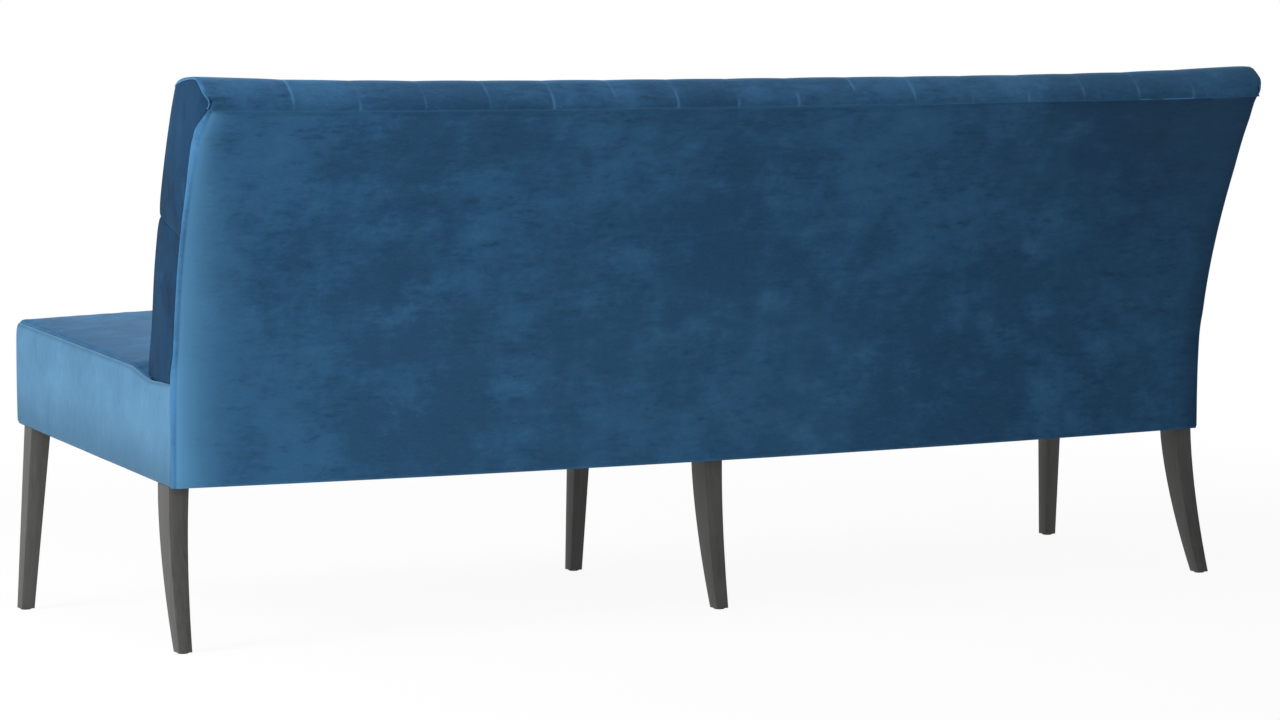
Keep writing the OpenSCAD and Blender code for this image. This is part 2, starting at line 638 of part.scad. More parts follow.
// Buttoned upper pad. u counts pleats along the bench and w counts rows of buttons up from the
// middle row. Diagonal pleats join the buttons; above and below them the pleats run straight up,
// over the top roll to its seam, and straight down to the middle seam.
button_row_gap = (roll_seam - middle_seam - lowest_row - highest_row) / 2;
button_middle_height = lowest_row + button_row_gap;
button_middle = middle_seam + button_middle_height;
pleat_pitch = (bench_length - 2 * pleat_margin) / (pleat_count - 1);
function pleat_u(x) = x / pleat_pitch + (pleat_count - 1) / 2;
function fold(t, low, high) = t < low || t > high ? 1 : abs(sin(180 * t));
function diamond_fill(u, w) =
    let (ta = fold(u + (w - 1) / 2, -0.5, pleat_count - 1.5),
         tb = fold(u - (w - 1) / 2, 0.5, pleat_count - 0.5))
    button_pit(u, w) * (0.45 * pow(max(ta, tb), 0.8) + 0.55 * sqrt(ta * tb));
// The outer rows' buttons pull a pit of their own, also where a diagonal pleat is missing at an end
function button_pit(u, w) =
    min(1, 4 * norm([u - min(max(round(u), 0), pleat_count - 1), (abs(w) - 1) / 2]));
function pleat_fill(u, w) =
    let (depth = w > 1 ? max(0.16, 1 - 0.62 * (w - 1)) : max(0.2, 1 - 0.75 * (-1 - w)))
    1 - depth * (1 - pow(fold(u, -0.5, pleat_count - 0.5), 0.6));
function button_fill(u, w) = abs(w) <= 1 ? diamond_fill(u, w) : pleat_fill(u, w);

// Rows of the upper pad as [off, s] of its full outside, [off, s] of its inside, and w
front_heights = concat([0, 8, 24],
    [for (k = [-1, -0.5, 0, 0.5, 1]) button_middle_height + k * button_row_gap],
    [button_middle_height + button_row_gap + 16]);
function upper_row(k) = k < len(front_heights)
    ? let (h = front_heights[k], s = middle_seam + clearance + h)
        [[back_thickness - seam_tuck * (1 - roll(h / 30)), s], [cover_back, s],
         (h - button_middle_height) / button_row_gap]
    : let (a = roll_turns[k - len(front_heights)])
        [roll_at(outer_front, outer_rise, a), roll_at(inner_front, inner_rise, a), 2 + a / 180];
last_row = len(front_heights) + len(roll_turns);
upper_shape = concat(
    [for (k = [0:last_row - 1]) upper_row(k)],
    [[[0, roll_seam + clearance], [board_front + 4, roll_seam + clearance], 3]]
);
pad_margin = cover_half - (pleat_count - 1) / 2 * pleat_pitch;
pad_side = [for (f = [0.3, 0.6, 0.8, 0.94, 1]) cover_half - pad_margin * (1 - f)];
pad_columns = concat(
    [for (i = [len(pad_side) - 1:-1:0]) -pad_side[i]],
    [for (i = [0:4 * (pleat_count - 1)]) (i / 4 - (pleat_count - 1) / 2) * pleat_pitch],
    pad_side
);
function upper_place(row, x) =
    let (w = row[2],
         swell = w < 2 ? back_crown * crown_along(x) * roll(min(1, (w + 2.2) / 2)) : 0,
         sag = w < 2 || w == 3 ? 0 : roll_sag * sag_along(x) * sin(180 * (w - 2)),
         full = row[0] + [swell, -sag], inside = row[1],
         drop = button_depth * (1 - button_fill(pleat_u(x), w)) + end_drop(x) * 0.6,
         reach = norm(full - inside))
    inside + (full - inside) * (1 - min(drop, reach - 2) / reach);
function upper_point(row, x) = let (place = upper_place(row, x)) back_point(x, place[0], place[1]);
// The folds of the mesh lean with the diagonal pleats
upper_turns = [for (k = [0:last_row - 1]) [for (i = [0:len(pad_columns) - 2])
    let (u = pleat_u((pad_columns[i] + pad_columns[i + 1]) / 2), w = upper_shape[k][2] + 0.1)
    (u - floor(u) < 0.5) != (w > 0)]];
module upper_back_cover() color(velvet) padded_sheet(
    [for (row = upper_shape) [for (x = pad_columns) upper_point(row, x)]],
    [for (row = upper_shape) [for (x = [-cover_half, cover_half]) back_point(x, row[1][0], row[1][1])]],
    upper_turns
);

// Covered buttons, seated at the bottom of the buttoning
module button_row(w) color(velvet) for (i = [0:pleat_count - (w == 0 ? 2 : 1)]) {
    x = (i + (w == 0 ? 0.5 : 0) - (pleat_count - 1) / 2) * pleat_pitch;
    s = button_middle + clearance + w * button_row_gap;
    off = max(back_thickness + back_crown * crown_along(x) - button_depth, cover_back + 2);
    translate(back_point(x, off, s)) rotate([90 - sweep_angle(s), 0, 0]) covered_button();
}
// A covered button: its cone sits in the tuft and its dome shows
button_rim = 8.2;
module covered_button() {
    r = button_diameter / 2;
    translate([0, 0, clearance]) cylinder(r1 = 0.5, r2 = r, h = button_rim - clearance);
    translate([0, 0, button_rim]) cylinder(r1 = r, r2 = r * 0.6, h = 3);
}

// Thin panels at the ends of the back, below and above the middle seam. The upper one follows the
// end of the top roll.
module lower_end_panel(side) color(velvet_light) mirror([side < 0 ? 1 : 0, 0, 0])
    back_prism(concat(
        [for (i = [0:8]) let (s = panel_foot + clearance + (middle_seam - panel_foot - 2 * clearance) * i / 8)
            [turn_depth(s) + clearance, s]],
        [for (t = [1, 0.95, 0.85, 0.7, 0.5, 0.3, 0.15, 0.05, 0])
            [back_thickness - seam_tuck * (1 - roll(min(t, 1 - t) / 0.14)),
             panel_foot + clearance + t * (middle_seam - panel_foot - 2 * clearance)]]
    ), half_length - cover_thickness, half_length);
module upper_end_panel(side) color(velvet_light) mirror([side < 0 ? 1 : 0, 0, 0])
    back_prism(concat(
        [for (i = [8:-1:0]) let (s = middle_seam + clearance + (roll_seam - middle_seam - clearance) * i / 8)
            [turn_depth(s) + clearance, s]],
        [for (h = [0, 3, 8, 16, 30]) [back_thickness - seam_tuck * (1 - roll(h / 30)), middle_seam + clearance + h]],
        [for (i = [1:6]) [back_thickness, middle_seam + 30 + (roll_foot - 5 - middle_seam - 30) * i / 6]],
        [for (k = [len(front_heights):last_row - 1]) upper_place(upper_shape[k], cover_half)]
    ), half_length - cover_thickness, half_length);

front_leg(-1);  // front_leg_left
front_leg(0);  // front_leg_middle
front_leg(1);  // front_leg_right
rear_leg(-1);  // rear_leg_left
rear_leg(0);  // rear_leg_middle
rear_leg(1);  // rear_leg_right
foot_glides();
leg_bolts();
seat_front_rail();
seat_rear_rail();
seat_end_rail(-1);  // seat_end_rail_left
seat_end_rail(1);  // seat_end_rail_right
cross_rail(-mid_upright_x);  // seat_cross_rail_left
cross_rail(0);  // seat_cross_rail_middle
cross_rail(mid_upright_x);  // seat_cross_rail_right
corner_blocks();
seat_webbing();
dust_cover();
seat_foam();
seat_top_cover();
seat_front_panel();
seat_side_panel(-1);  // seat_side_panel_left
seat_side_panel(1);  // seat_side_panel_right
back_upright(-end_upright_x, leg_upright_foot);  // back_upright_left
back_upright(-mid_upright_x, cross_upright_foot);  // back_upright_mid_left
back_upright(0, leg_upright_foot);  // back_upright_middle
back_upright(mid_upright_x, cross_upright_foot);  // back_upright_mid_right
back_upright(end_upright_x, leg_upright_foot);  // back_upright_right
back_cheek(-1);  // back_cheek_left
back_cheek(1);  // back_cheek_right
back_top_rail();
back_tie_rail(middle_rail_foot);  // back_middle_rail
back_tie_rail(bottom_rail_foot);  // back_bottom_rail
back_webbing();
outside_back_board();
outside_back_cover();
lower_back_foam();
lower_back_cover();
upper_back_foam();
top_roll_foam();
upper_back_cover();
lower_end_panel(-1);  // lower_end_panel_left
lower_end_panel(1);  // lower_end_panel_right
upper_end_panel(-1);  // upper_end_panel_left
upper_end_panel(1);  // upper_end_panel_right
button_row(1);  // buttons_top_row
button_row(0);  // buttons_middle_row
button_row(-1);  // buttons_bottom_row
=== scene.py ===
"""Looks of the upholstered banquette bench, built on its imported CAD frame, in metres.

The sections follow the bench as it is put together: the studio, the legs, the seat frame and its
covers, then the back frame, its padding, its covers and its buttons.
"""
import math

import bmesh
import bpy
from mathutils import Matrix, Vector, noise


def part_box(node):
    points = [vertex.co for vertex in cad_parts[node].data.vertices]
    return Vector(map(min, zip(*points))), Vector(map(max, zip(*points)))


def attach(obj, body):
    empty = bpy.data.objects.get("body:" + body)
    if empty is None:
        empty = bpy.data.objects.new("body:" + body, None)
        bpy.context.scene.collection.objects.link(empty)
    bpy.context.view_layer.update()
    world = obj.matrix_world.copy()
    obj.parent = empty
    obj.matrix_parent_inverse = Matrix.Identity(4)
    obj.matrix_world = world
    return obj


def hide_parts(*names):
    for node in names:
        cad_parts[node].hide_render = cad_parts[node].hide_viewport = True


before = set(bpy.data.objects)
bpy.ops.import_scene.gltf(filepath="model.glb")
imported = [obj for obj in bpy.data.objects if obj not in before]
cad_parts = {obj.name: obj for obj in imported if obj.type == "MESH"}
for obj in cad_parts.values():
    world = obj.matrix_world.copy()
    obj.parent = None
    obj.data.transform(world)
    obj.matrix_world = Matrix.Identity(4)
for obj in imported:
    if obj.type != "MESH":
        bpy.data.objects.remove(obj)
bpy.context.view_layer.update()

# Camera
# It stands behind the bench's right end, a little above the height of the back, and looks down
# by five degrees with a long lens.
camera = bpy.data.objects.new("camera", bpy.data.cameras.new("camera"))
bpy.context.scene.collection.objects.link(camera)
camera.location = (3.4768, 6.3760, 1.0476)
camera.rotation_euler = (math.radians(85.0), 0, math.radians(151.724))
camera.data.sensor_width = 36
camera.data.lens = 117.42
bpy.context.scene.camera = camera
bpy.context.scene.view_settings.view_transform = "Standard"


# Studio
# A white floor that runs on into a white background, a broad soft lamp beyond the bench's right
# end, one overhead, a weak one beside the camera and one in front of the bench.
class Wire:
    """A shader socket. Arithmetic on it adds Math nodes to its finish."""

    def __init__(self, finish, socket):
        self.finish = finish
        self.socket = socket

    def maths(self, operation, first, second):
        return self.finish.node("ShaderNodeMath", {"operation": operation}, {0: first, 1: second})

    def __add__(self, other):
        return self.maths("ADD", self, other)

    def __radd__(self, other):
        return self.maths("ADD", other, self)

    def __rsub__(self, other):
        return self.maths("SUBTRACT", other, self)

    def __mul__(self, other):
        return self.maths("MULTIPLY", self, other)

    def __rmul__(self, other):
        return self.maths("MULTIPLY", other, self)


class Finish:
    """A material or world being made. Each of its nodes comes from node()."""

    def __init__(self, owner):
        self.material = bpy.data.materials.new(owner) if isinstance(owner, str) else owner
        self.material.use_nodes = True
        self.tree = self.material.node_tree
        self.tree.nodes.clear()

    def node(self, kind, settings=None, inputs=None, output=0):
        made = self.tree.nodes.new(kind)
        for name, value in (settings or {}).items():
            setattr(made, name, value)
        for name, value in (inputs or {}).items():
            if isinstance(value, Wire):
                self.tree.links.new(value.socket, made.inputs[name])
            else:
                made.inputs[name].default_value = value
        return Wire(self, made.outputs[output]) if made.outputs else None

    def stretched(self, scale):
        """Object coordinates, in metres, with a scale for each direction."""
        start = self.node("ShaderNodeTexCoord", output="Object")
        return self.node("ShaderNodeMapping", inputs={"Vector": start, "Scale": scale})

    def mottle(self, scale, size=1.0, detail=3.0, roughness=0.5, distortion=0.0):
        """Noise from 0 to 1."""
        return self.node("ShaderNodeTexNoise", inputs={
            "Vector": self.stretched(scale), "Scale": size, "Detail": detail,
            "Roughness": roughness, "Distortion": distortion})

    def between(self, value, low, high):
        """0 below low, 1 above high, and smooth in between."""
        return self.node("ShaderNodeMapRange", {"interpolation_type": "SMOOTHSTEP"}, {
            "Value": value, "From Min": low, "From Max": high})

    def tint(self, mask, first, second):
        return self.node("ShaderNodeMix", {"data_type": "RGBA"}, {0: mask, 6: first, 7: second},
                         output=2)

    def bump(self, height, distance, strength):
        return self.node("ShaderNodeBump", inputs={
            "Height": height, "Distance": distance, "Strength": strength})

    def surface(self, **sockets):
        shader = self.node("ShaderNodeBsdfPrincipled", inputs={
            name.replace("_", " "): value for name, value in sockets.items()})
        self.node("ShaderNodeOutputMaterial", inputs={"Surface": shader})
        return self.material


near_floor = 1.4
far_floor = 3.2


def seen_white(finish, lit, share):
    """Mixes a shader with plain white where the camera or a reflection looks at it. share is how
    white that is near the bench; further off it is all white."""
    camera_ray, glossy_ray, transmission_ray = (
        finish.node("ShaderNodeLightPath", output=name)
        for name in ("Is Camera Ray", "Is Glossy Ray", "Is Transmission Ray"))
    seen = finish.node("ShaderNodeClamp", inputs={
        "Value": camera_ray + glossy_ray + transmission_ray})
    white = finish.node("ShaderNodeEmission", inputs={"Color": (1, 1, 1, 1), "Strength": 1.0})
    distance = finish.node("ShaderNodeVectorMath", {"operation": "LENGTH"}, {
        0: finish.node("ShaderNodeTexCoord", output="Object")}, output="Value")
    far_off = finish.between(distance, near_floor, far_floor)
    return finish.node("ShaderNodeMixShader", inputs={
        0: seen * (share + (1 - share) * far_off), 1: lit, 2: white})


floor_paint = Finish("studio_floor")
floor_lit = floor_paint.node("ShaderNodeBsdfDiffuse", inputs={"Color": (0.93, 0.93, 0.93, 1)})
floor_paint.node("ShaderNodeOutputMaterial", inputs={
    "Surface": seen_white(floor_paint, floor_lit, 0.93)})
floor_half_size = 40
floor_shape = bmesh.new()
bmesh.ops.create_grid(floor_shape, x_segments=1, y_segments=1, size=floor_half_size)
floor_mesh = bpy.data.meshes.new("studio_floor")
floor_shape.to_mesh(floor_mesh)
floor_shape.free()
floor = bpy.data.objects.new("studio_floor", floor_mesh)
floor.data.materials.append(floor_paint.material)
bpy.context.scene.collection.objects.link(floor)

sky = Finish(bpy.data.worlds.new("studio"))
bpy.context.scene.world = sky.material
sky_strength = 0.21
sky_seen = sky.node("ShaderNodeLightPath", output="Is Camera Ray")
sky_level = sky_strength + (1 - sky_strength) * sky_seen
sky_light = sky.node("ShaderNodeBackground", inputs={"Color": (1, 1, 1, 1), "Strength": sky_level})
sky.node("ShaderNodeOutputWorld", inputs={"Surface": sky_light})


def lamp(name, place, target, width, height, power):
    light = bpy.data.lights.new(name, "AREA")
    light.shape = "RECTANGLE"
    light.size = width
    light.size_y = height
    light.energy = power
    lamp_object = bpy.data.objects.new(name, light)
    lamp_object.location = place
    aim = Vector(target) - Vector(place)
    lamp_object.rotation_euler = aim.to_track_quat("-Z", "Y").to_euler()
    bpy.context.scene.collection.objects.link(lamp_object)


lamp("end_lamp", (3.4, 0.3, 1.8), (0.9, 0, 0.45), 1.2, 1.5, 84)
lamp("top_lamp", (0.9, 0.6, 3.2), (0.2, 0, 0.5), 2.2, 1.2, 26)
lamp("rear_lamp", (2.5, 2.5, 1.9), (0.5, 0.2, 0.45), 1.1, 1.1, 24)
lamp("front_lamp", (-0.5, -4.0, 2.3), (0, 0, 0.6), 2.4, 1.8, 50)


# Legs
# Six solid beech legs, stained black-brown and bolted to the rails: straight tapered ones in
# front and swept ones behind. Their long edges are eased with sandpaper before staining.
def stained_wood():
    finish = Finish("stained_beech")
    grain = finish.mottle((70, 70, 5), size=1.6, detail=6, roughness=0.62, distortion=0.6)
    pores = finish.mottle((520, 520, 18), size=1.0, detail=2)
    cloud = finish.mottle((6, 6, 3), detail=2)
    base = finish.tint(
        finish.between(grain, 0.25, 0.8), (0.056, 0.056, 0.055, 1), (0.090, 0.089, 0.086, 1))
    base = finish.tint(finish.between(pores, 0.60, 0.76) * 0.35, base, (0.030, 0.029, 0.028, 1))
    base = finish.tint(finish.between(cloud, 0.4, 0.8) * 0.4, base, (0.095, 0.091, 0.085, 1))
    return finish.surface(
        Base_Color=base, Roughness=0.5 + 0.14 * grain,
        Normal=finish.bump(grain * 0.6 + pores * 0.4, 0.0005, 0.4))


def add_piece(name, shape, finish, slot, *nodes):
    """Makes a bmesh a finished piece that rides on the bench and stands for CAD nodes."""
    mesh = bpy.data.meshes.new(name)
    shape.to_mesh(mesh)
    shape.free()
    for face in mesh.polygons:
        face.use_smooth = True
    piece = bpy.data.objects.new(name, mesh)
    bpy.context.scene.collection.objects.link(piece)
    mesh.materials.append(finish)
    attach(piece, "root")
    if nodes:
        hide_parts(*nodes)
    return piece


def eased_copy(node, width, segments=2, sharp=30):
    """A merged copy of a CAD node with its sharp edges rounded."""
    shape = bmesh.new()
    shape.from_mesh(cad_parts[node].data)
    bmesh.ops.remove_doubles(shape, verts=shape.verts, dist=1e-5)
    bmesh.ops.dissolve_limit(
        shape, angle_limit=math.radians(1), verts=shape.verts, edges=shape.edges)
    edges = [e for e in shape.edges
             if len(e.link_faces) == 2 and e.calc_face_angle(0) > math.radians(sharp)]
    bmesh.ops.bevel(shape, geom=edges, offset=width, segments=segments, profile=0.5,
                    affect="EDGES", material=-1, clamp_overlap=True)
    bmesh.ops.triangulate(shape, faces=[f for f in shape.faces if len(f.verts) > 4])
    return shape


leg_finish = stained_wood()
leg_edge = 0.0014
for row in ("front", "rear"):
    for place in ("left", "middle", "right"):
        node = f"{row}_leg_{place}"
        leg = add_piece(f"{node}_wood", eased_copy(node, leg_edge), leg_finish, "leg_stain", node)
        leg.data.set_sharp_from_angle(angle=math.radians(38))


# Glides and leg bolts
# Brown nylon glides are nailed under the feet. Zinc-plated hexagon bolts hold the legs' blocks to
# the front and rear rails.
def nylon():
    finish = Finish("brown_nylon")
    scuffs = finish.mottle((300, 300, 60), detail=4)
    base = finish.tint(
        finish.between(scuffs, 0.55, 0.8), (0.14, 0.09, 0.055, 1), (0.30, 0.22, 0.15, 1))
    return finish.surface(Base_Color=base, Roughness=0.55 + 0.2 * scuffs,
                          Normal=finish.bump(scuffs, 0.0002, 0.6))


def plated_steel():
    finish = Finish("zinc_plated_steel")
    brushing = finish.mottle((40, 900, 40), detail=2)
    spangle = finish.mottle((60, 60, 60), detail=1)
    base = finish.tint(spangle, (0.50, 0.51, 0.53, 1), (0.64, 0.64, 0.63, 1))
    return finish.surface(Base_Color=base, Metallic=1.0, Roughness=0.28 + 0.2 * brushing,
                          Normal=finish.bump(brushing, 0.0001, 0.5))


def finish_nodes(material, slot, *nodes):
    """Gives CAD nodes that stay in sight their material."""
    for node in nodes:
        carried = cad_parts[node]
        carried.data.materials.clear()
        carried.data.materials.append(material)


finish_nodes(nylon(), "glide_plastic", "foot_glides")
finish_nodes(plated_steel(), "steel", "leg_bolts")


# Seat frame
# Planed beech rails and cross rails, with glued triangular corner blocks. Elastic straps run over
# them from front to back, and a black cloth closes the underside.
def planed_beech():
    finish = Finish("planed_beech")
    grain = finish.mottle((6, 90, 90), size=1.4, detail=6, distortion=0.4)
    flecks = finish.mottle((90, 700, 700), detail=1)
    base = finish.tint(
        finish.between(grain, 0.3, 0.7), (0.58, 0.40, 0.24, 1), (0.44, 0.28, 0.15, 1))
    base = finish.tint(finish.between(flecks, 0.6, 0.75) * 0.6, base, (0.34, 0.20, 0.10, 1))
    return finish.surface(Base_Color=base, Roughness=0.6 + 0.15 * grain,
                          Normal=finish.bump(grain, 0.0004, 0.4))


def elastic_webbing():
    finish = Finish("elastic_webbing")
    rib = finish.node("ShaderNodeTexWave", {"bands_direction": "Y"},
                      {"Vector": finish.stretched((1, 1, 1)), "Scale": 90.0, "Distortion": 0.2})
    fibre = finish.mottle((700, 700, 700), detail=2)
    base = finish.tint(rib * 0.5 + fibre * 0.5, (0.018, 0.018, 0.02, 1), (0.085, 0.085, 0.095, 1))
    return finish.surface(Base_Color=base, Roughness=0.82 + 0.1 * fibre,
                          Normal=finish.bump(rib + fibre * 0.4, 0.0006, 0.8))


def bonded_lining():
    finish = Finish("bonded_lining")
    fibres = finish.mottle((420, 420, 420), detail=4, roughness=0.7)
    quilting = finish.mottle((40, 40, 40), detail=1)
    base = finish.tint(fibres, (0.008, 0.008, 0.009, 1), (0.045, 0.045, 0.05, 1))
    return finish.surface(Base_Color=base, Roughness=0.75 + 0.15 * quilting,
                          Normal=finish.bump(fibres + quilting * 0.5, 0.0005, 0.7))


beech = planed_beech()
finish_nodes(beech, "hardwood", "seat_front_rail", "seat_rear_rail", "seat_end_rail_left",
             "seat_end_rail_right", "seat_cross_rail_left", "seat_cross_rail_middle",
             "seat_cross_rail_right", "corner_blocks")
straps = elastic_webbing()
finish_nodes(straps, "webbing", "seat_webbing")

# The lining is stapled along the rails and sags a few millimetres between them
lining = eased_copy("dust_cover", 0.0001, segments=1, sharp=80)
lining_low, lining_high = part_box("dust_cover")
lining_width = lining_high.y - lining_low.y
lining_sag = 0.0035
for normal, cuts in ((Vector((1, 0, 0)), 40), (Vector((0, 1, 0)), 12)):
    for step in range(1, cuts):
        place = lining_low.lerp(lining_high, step / cuts)
        bmesh.ops.bisect_plane(lining, geom=lining.verts[:] + lining.edges[:] + lining.faces[:],
                               dist=1e-6, plane_co=place, plane_no=normal)
cross_rail_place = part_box("seat_cross_rail_right")[0].x
for vert in lining.verts:
    across = (vert.co.x / cross_rail_place) % 1
    along = (vert.co.y - lining_low.y) / lining_width
    vert.co.z -= lining_sag * abs(math.sin(math.pi * across)) * max(0, math.sin(math.pi * along))
# The cloth narrows to the rear with the frame
dust_cloth = add_piece("dust_cloth", lining, bonded_lining(), "lining", "dust_cover")


# Foam
# Blocks of cold-cure foam, glued to the webbing: one in the seat, two on the back and a strip
# over the top rail. Their cut edges are soft, and the surface has fine open cells.
def cut_foam():
    finish = Finish("cut_foam")
    cells = finish.node("ShaderNodeTexVoronoi", {"feature": "F1"},
                        {"Vector": finish.stretched((1, 1, 1)), "Scale": 520.0}, output="Distance")
    cloud = finish.mottle((9, 9, 9), detail=3)
    base = finish.tint(cloud, (0.86, 0.79, 0.56, 1), (0.80, 0.70, 0.44, 1))
    base = finish.tint(finish.between(cells, 0.5, 0.9) * 0.4, base, (0.60, 0.50, 0.30, 1))
    return finish.surface(Base_Color=base, Roughness=0.9 - 0.1 * cells,
                          Normal=finish.bump(cells, 0.0008, 0.8))


def smooth(value, low, high):
    t = min(1, max(0, (value - low) / (high - low)))
    return t * t * (3 - 2 * t)


# Sizes of the seat, read from the frame
border_low, border_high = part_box("seat_side_panel_right")
cover_low, cover_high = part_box("outside_back_cover")
half_length = cover_high.x
rear_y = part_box("seat_rear_rail")[1].y + 0.0033
front_y = border_low.y
seat_depth = rear_y - front_y
flare = 0.060
underside_rear = cover_low.z
seat_rise = 0.060
border_height = 0.168
foam_room = 0.004
back_seat_z = underside_rear + border_height
# The velvet border stands this much higher in front than behind, where its top edge dips to a
# level seat for the ends of the back
border_lift = 0.004
dip_y = 0.135
dip_run = 0.090


def underside(y):
    return underside_rear + seat_rise * (rear_y - y) / seat_depth


def half_width(y):
    return half_length + flare * (rear_y - y) / seat_depth


def border_top(y):
    level = smooth(y, dip_y - dip_run, dip_y)
    high = underside(y) + border_height + border_lift
    return high + level * (back_seat_z - high)


foam = cut_foam()
foam_edge = 0.004
dip_cuts = 9
for node in ("seat_foam", "lower_back_foam", "upper_back_foam", "top_roll_foam"):
    shape = eased_copy(node, foam_edge)
    if node == "seat_foam":
        # The block is cut down where the border dips
        for step in range(dip_cuts):
            bmesh.ops.bisect_plane(
                shape, geom=shape.verts[:] + shape.edges[:] + shape.faces[:], dist=1e-6,
                plane_co=(0, dip_y - dip_run * (1 - step / (dip_cuts - 1)), 0), plane_no=(0, 1, 0))
        for vert in shape.verts:
            vert.co.z = min(vert.co.z, border_top(vert.co.y) - foam_room)
    block = add_piece(f"{node}_block", shape, foam, "foam", node)


# Seat panels
# The velvet border round the seat: a front panel and two side panels that turn the front corners,
# glued over felt and folded under the rails. The side panels' pile runs down, and their velvet is
# painted pale as painted light, for the strong light that falls on them.
def velvet(name, painted_brightness, pale, run="x", contrast=1.0, painted_darkening=0.0, seam_glow=0.35, sheen=0.3):
    """Short-pile blue velvet. Its first argument scales its red, green and blue for each piece, so
    that the pieces are lit and shaded copies of one velvet: painted light and painted shade. pale
    is how brushed it looks, and the darkening argument deepens its dark patches as painted shade.
    Its streaks run along the axis run. The attribute seam is above 0 for a painted highlight along
    seams and edges, stronger where they are worn shiny, and below 0 for painted shade."""
    finish = Finish(name)
    deep, mid, light = (
        tuple(part * tone for part, tone in zip(painted_brightness, colour)) + (1,)
        for colour in ((0.0150, 0.070, 0.157), (0.0290, 0.122, 0.256), (0.066, 0.196, 0.345)))
    dark = tuple(0.40 * c for c in deep[:3]) + (1,)
    # Colour of the painted highlight
    painted_highlight = tuple(1.6 * c for c in light[:3]) + (1,)
    tone_width = 0.09 / contrast

    def streaks(fine, long):
        return tuple(long if axis == run else fine for axis in "xyz")

    brushing_and_painted_light = finish.mottle((2.2, 2.2, 2.6), detail=3, distortion=0.2)
    marks = finish.mottle((9, 9, 8), detail=9, roughness=0.70, distortion=0.1)
    creases = finish.mottle(streaks(22, 10), detail=8, roughness=0.70, distortion=0.25)
    wrinkles = finish.mottle(streaks(120, 34), detail=5, roughness=0.66, distortion=0.2)
    weft = finish.mottle(streaks(560, 130), detail=3, roughness=0.6)
    pile = finish.mottle((900, 900, 900), detail=2)
    tone = brushing_and_painted_light * 0.28 + marks * 0.34 + creases * 0.22 + wrinkles * 0.16
    base = finish.tint(finish.between(tone, 0.5 - tone_width, 0.5 + tone_width), deep, mid)
    base = finish.tint(finish.between(marks * 0.6 + creases * 0.4, 0.53, 0.70) * pale, base, light)
    rubbed = finish.between(creases * 0.5 + wrinkles * 0.5, 0.46, 0.35)
    base = finish.tint(rubbed * (0.26 * contrast + painted_darkening), base, dark)
    base = finish.tint(finish.between(weft, 0.42, 0.64) * (0.34 * contrast), base, deep)
    base = finish.tint(finish.between(weft, 0.52, 0.72) * (0.14 * contrast), base, light)
    # Painted highlight where seam is above 0, painted shade where it is below 0
    seam = finish.node("ShaderNodeAttribute", {"attribute_name": "seam"}, output="Fac")
    base = finish.tint(finish.between(seam, 0.0, 1.0) * seam_glow, base, painted_highlight)
    base = finish.tint(finish.between(seam, 0.0, -1.0) * 0.8, base, dark)
    return finish.surface(
        Base_Color=base, Roughness=0.74 + 0.16 * marks, Specular_IOR_Level=0.15,
        Sheen_Weight=sheen, Sheen_Roughness=0.45, Sheen_Tint=(0.35, 0.68, 1.0, 1),
        Normal=finish.bump(pile * 0.4 + weft * 0.4 + wrinkles * 0.4, 0.0007, 0.6))


def roll(t):
    """Quarter-round rise from 0 to 1."""
    t = min(1, max(0, t))
    return math.sqrt(1 - (1 - t) ** 2)


def sewn_pad(columns, rows, outside, inside, mark):
    """A closed pad. outside and inside give a point for u and v from 0 to 1, and mark how much
    painted highlight (above 0) or painted shade (below 0) lies there, kept as the attribute seam."""
    shape = bmesh.new()
    seam = shape.verts.layers.float.new("seam")
    bmesh.ops.create_grid(shape, x_segments=columns, y_segments=rows, size=1)
    raised = bmesh.ops.extrude_face_region(
        shape, geom=shape.verts[:] + shape.edges[:] + shape.faces[:])
    tops = {v for v in raised["geom"] if isinstance(v, bmesh.types.BMVert)}
    for vert in shape.verts:
        u, v = (vert.co.x + 1) / 2, (vert.co.y + 1) / 2
        vert[seam] = mark(u, v) if vert in tops else 0
        vert.co = outside(u, v) if vert in tops else inside(u, v)
    bmesh.ops.recalc_face_normals(shape, faces=shape.faces)
    return shape


def drawn_in(v):
    """Keeps the inside of the border clear of its top and bottom edges."""
    return 0.01 + 0.98 * v


front_round = 0.016
velvet_thickness = 0.004
seam_gap = 0.0003
# The border is folded in under the rails, rolls in towards the seat's seam, and swells a little
fold_tuck = 0.0026
fold_height = 0.006
top_roll_in = 0.006
top_roll_height = 0.020
border_swell = 0.0012
swell_run = 0.03
panel_seam_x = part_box("seat_front_panel")[1].x
border_back_y = border_high.y + 0.002
side_run = border_back_y - front_y - front_round
corner_run = front_round * math.pi / 2
front_run = half_width(front_y) - front_round - panel_seam_x
border_run = side_run + corner_run + front_run


def border_at(distance):
    """A point of the seat's plan and the way out of it, by the distance along the border from the
    rear of the right side panel."""
    if distance < side_run:
        y = border_back_y - distance
        return Vector((half_width(y), y)), Vector((1, 0))
    if distance < side_run + corner_run:
        turn = (distance - side_run) / front_round
        centre = Vector((half_width(front_y + front_round) - front_round, front_y + front_round))
        out = Vector((math.cos(turn), -math.sin(turn)))
        return centre + front_round * out, out
    x = half_width(front_y + front_round) - front_round - (distance - side_run - corner_run)
    return Vector((x, front_y)), Vector((0, -1))


def top_tuck(below):
    """How far the border rolls in towards the seam at its top."""
    return top_roll_in * (1 - roll(below / top_roll_height))


def bottom_tuck(above):
    """How far the border rolls in at its bottom, where it is folded under the rails."""
    return fold_tuck * (1 - roll(above / fold_height))


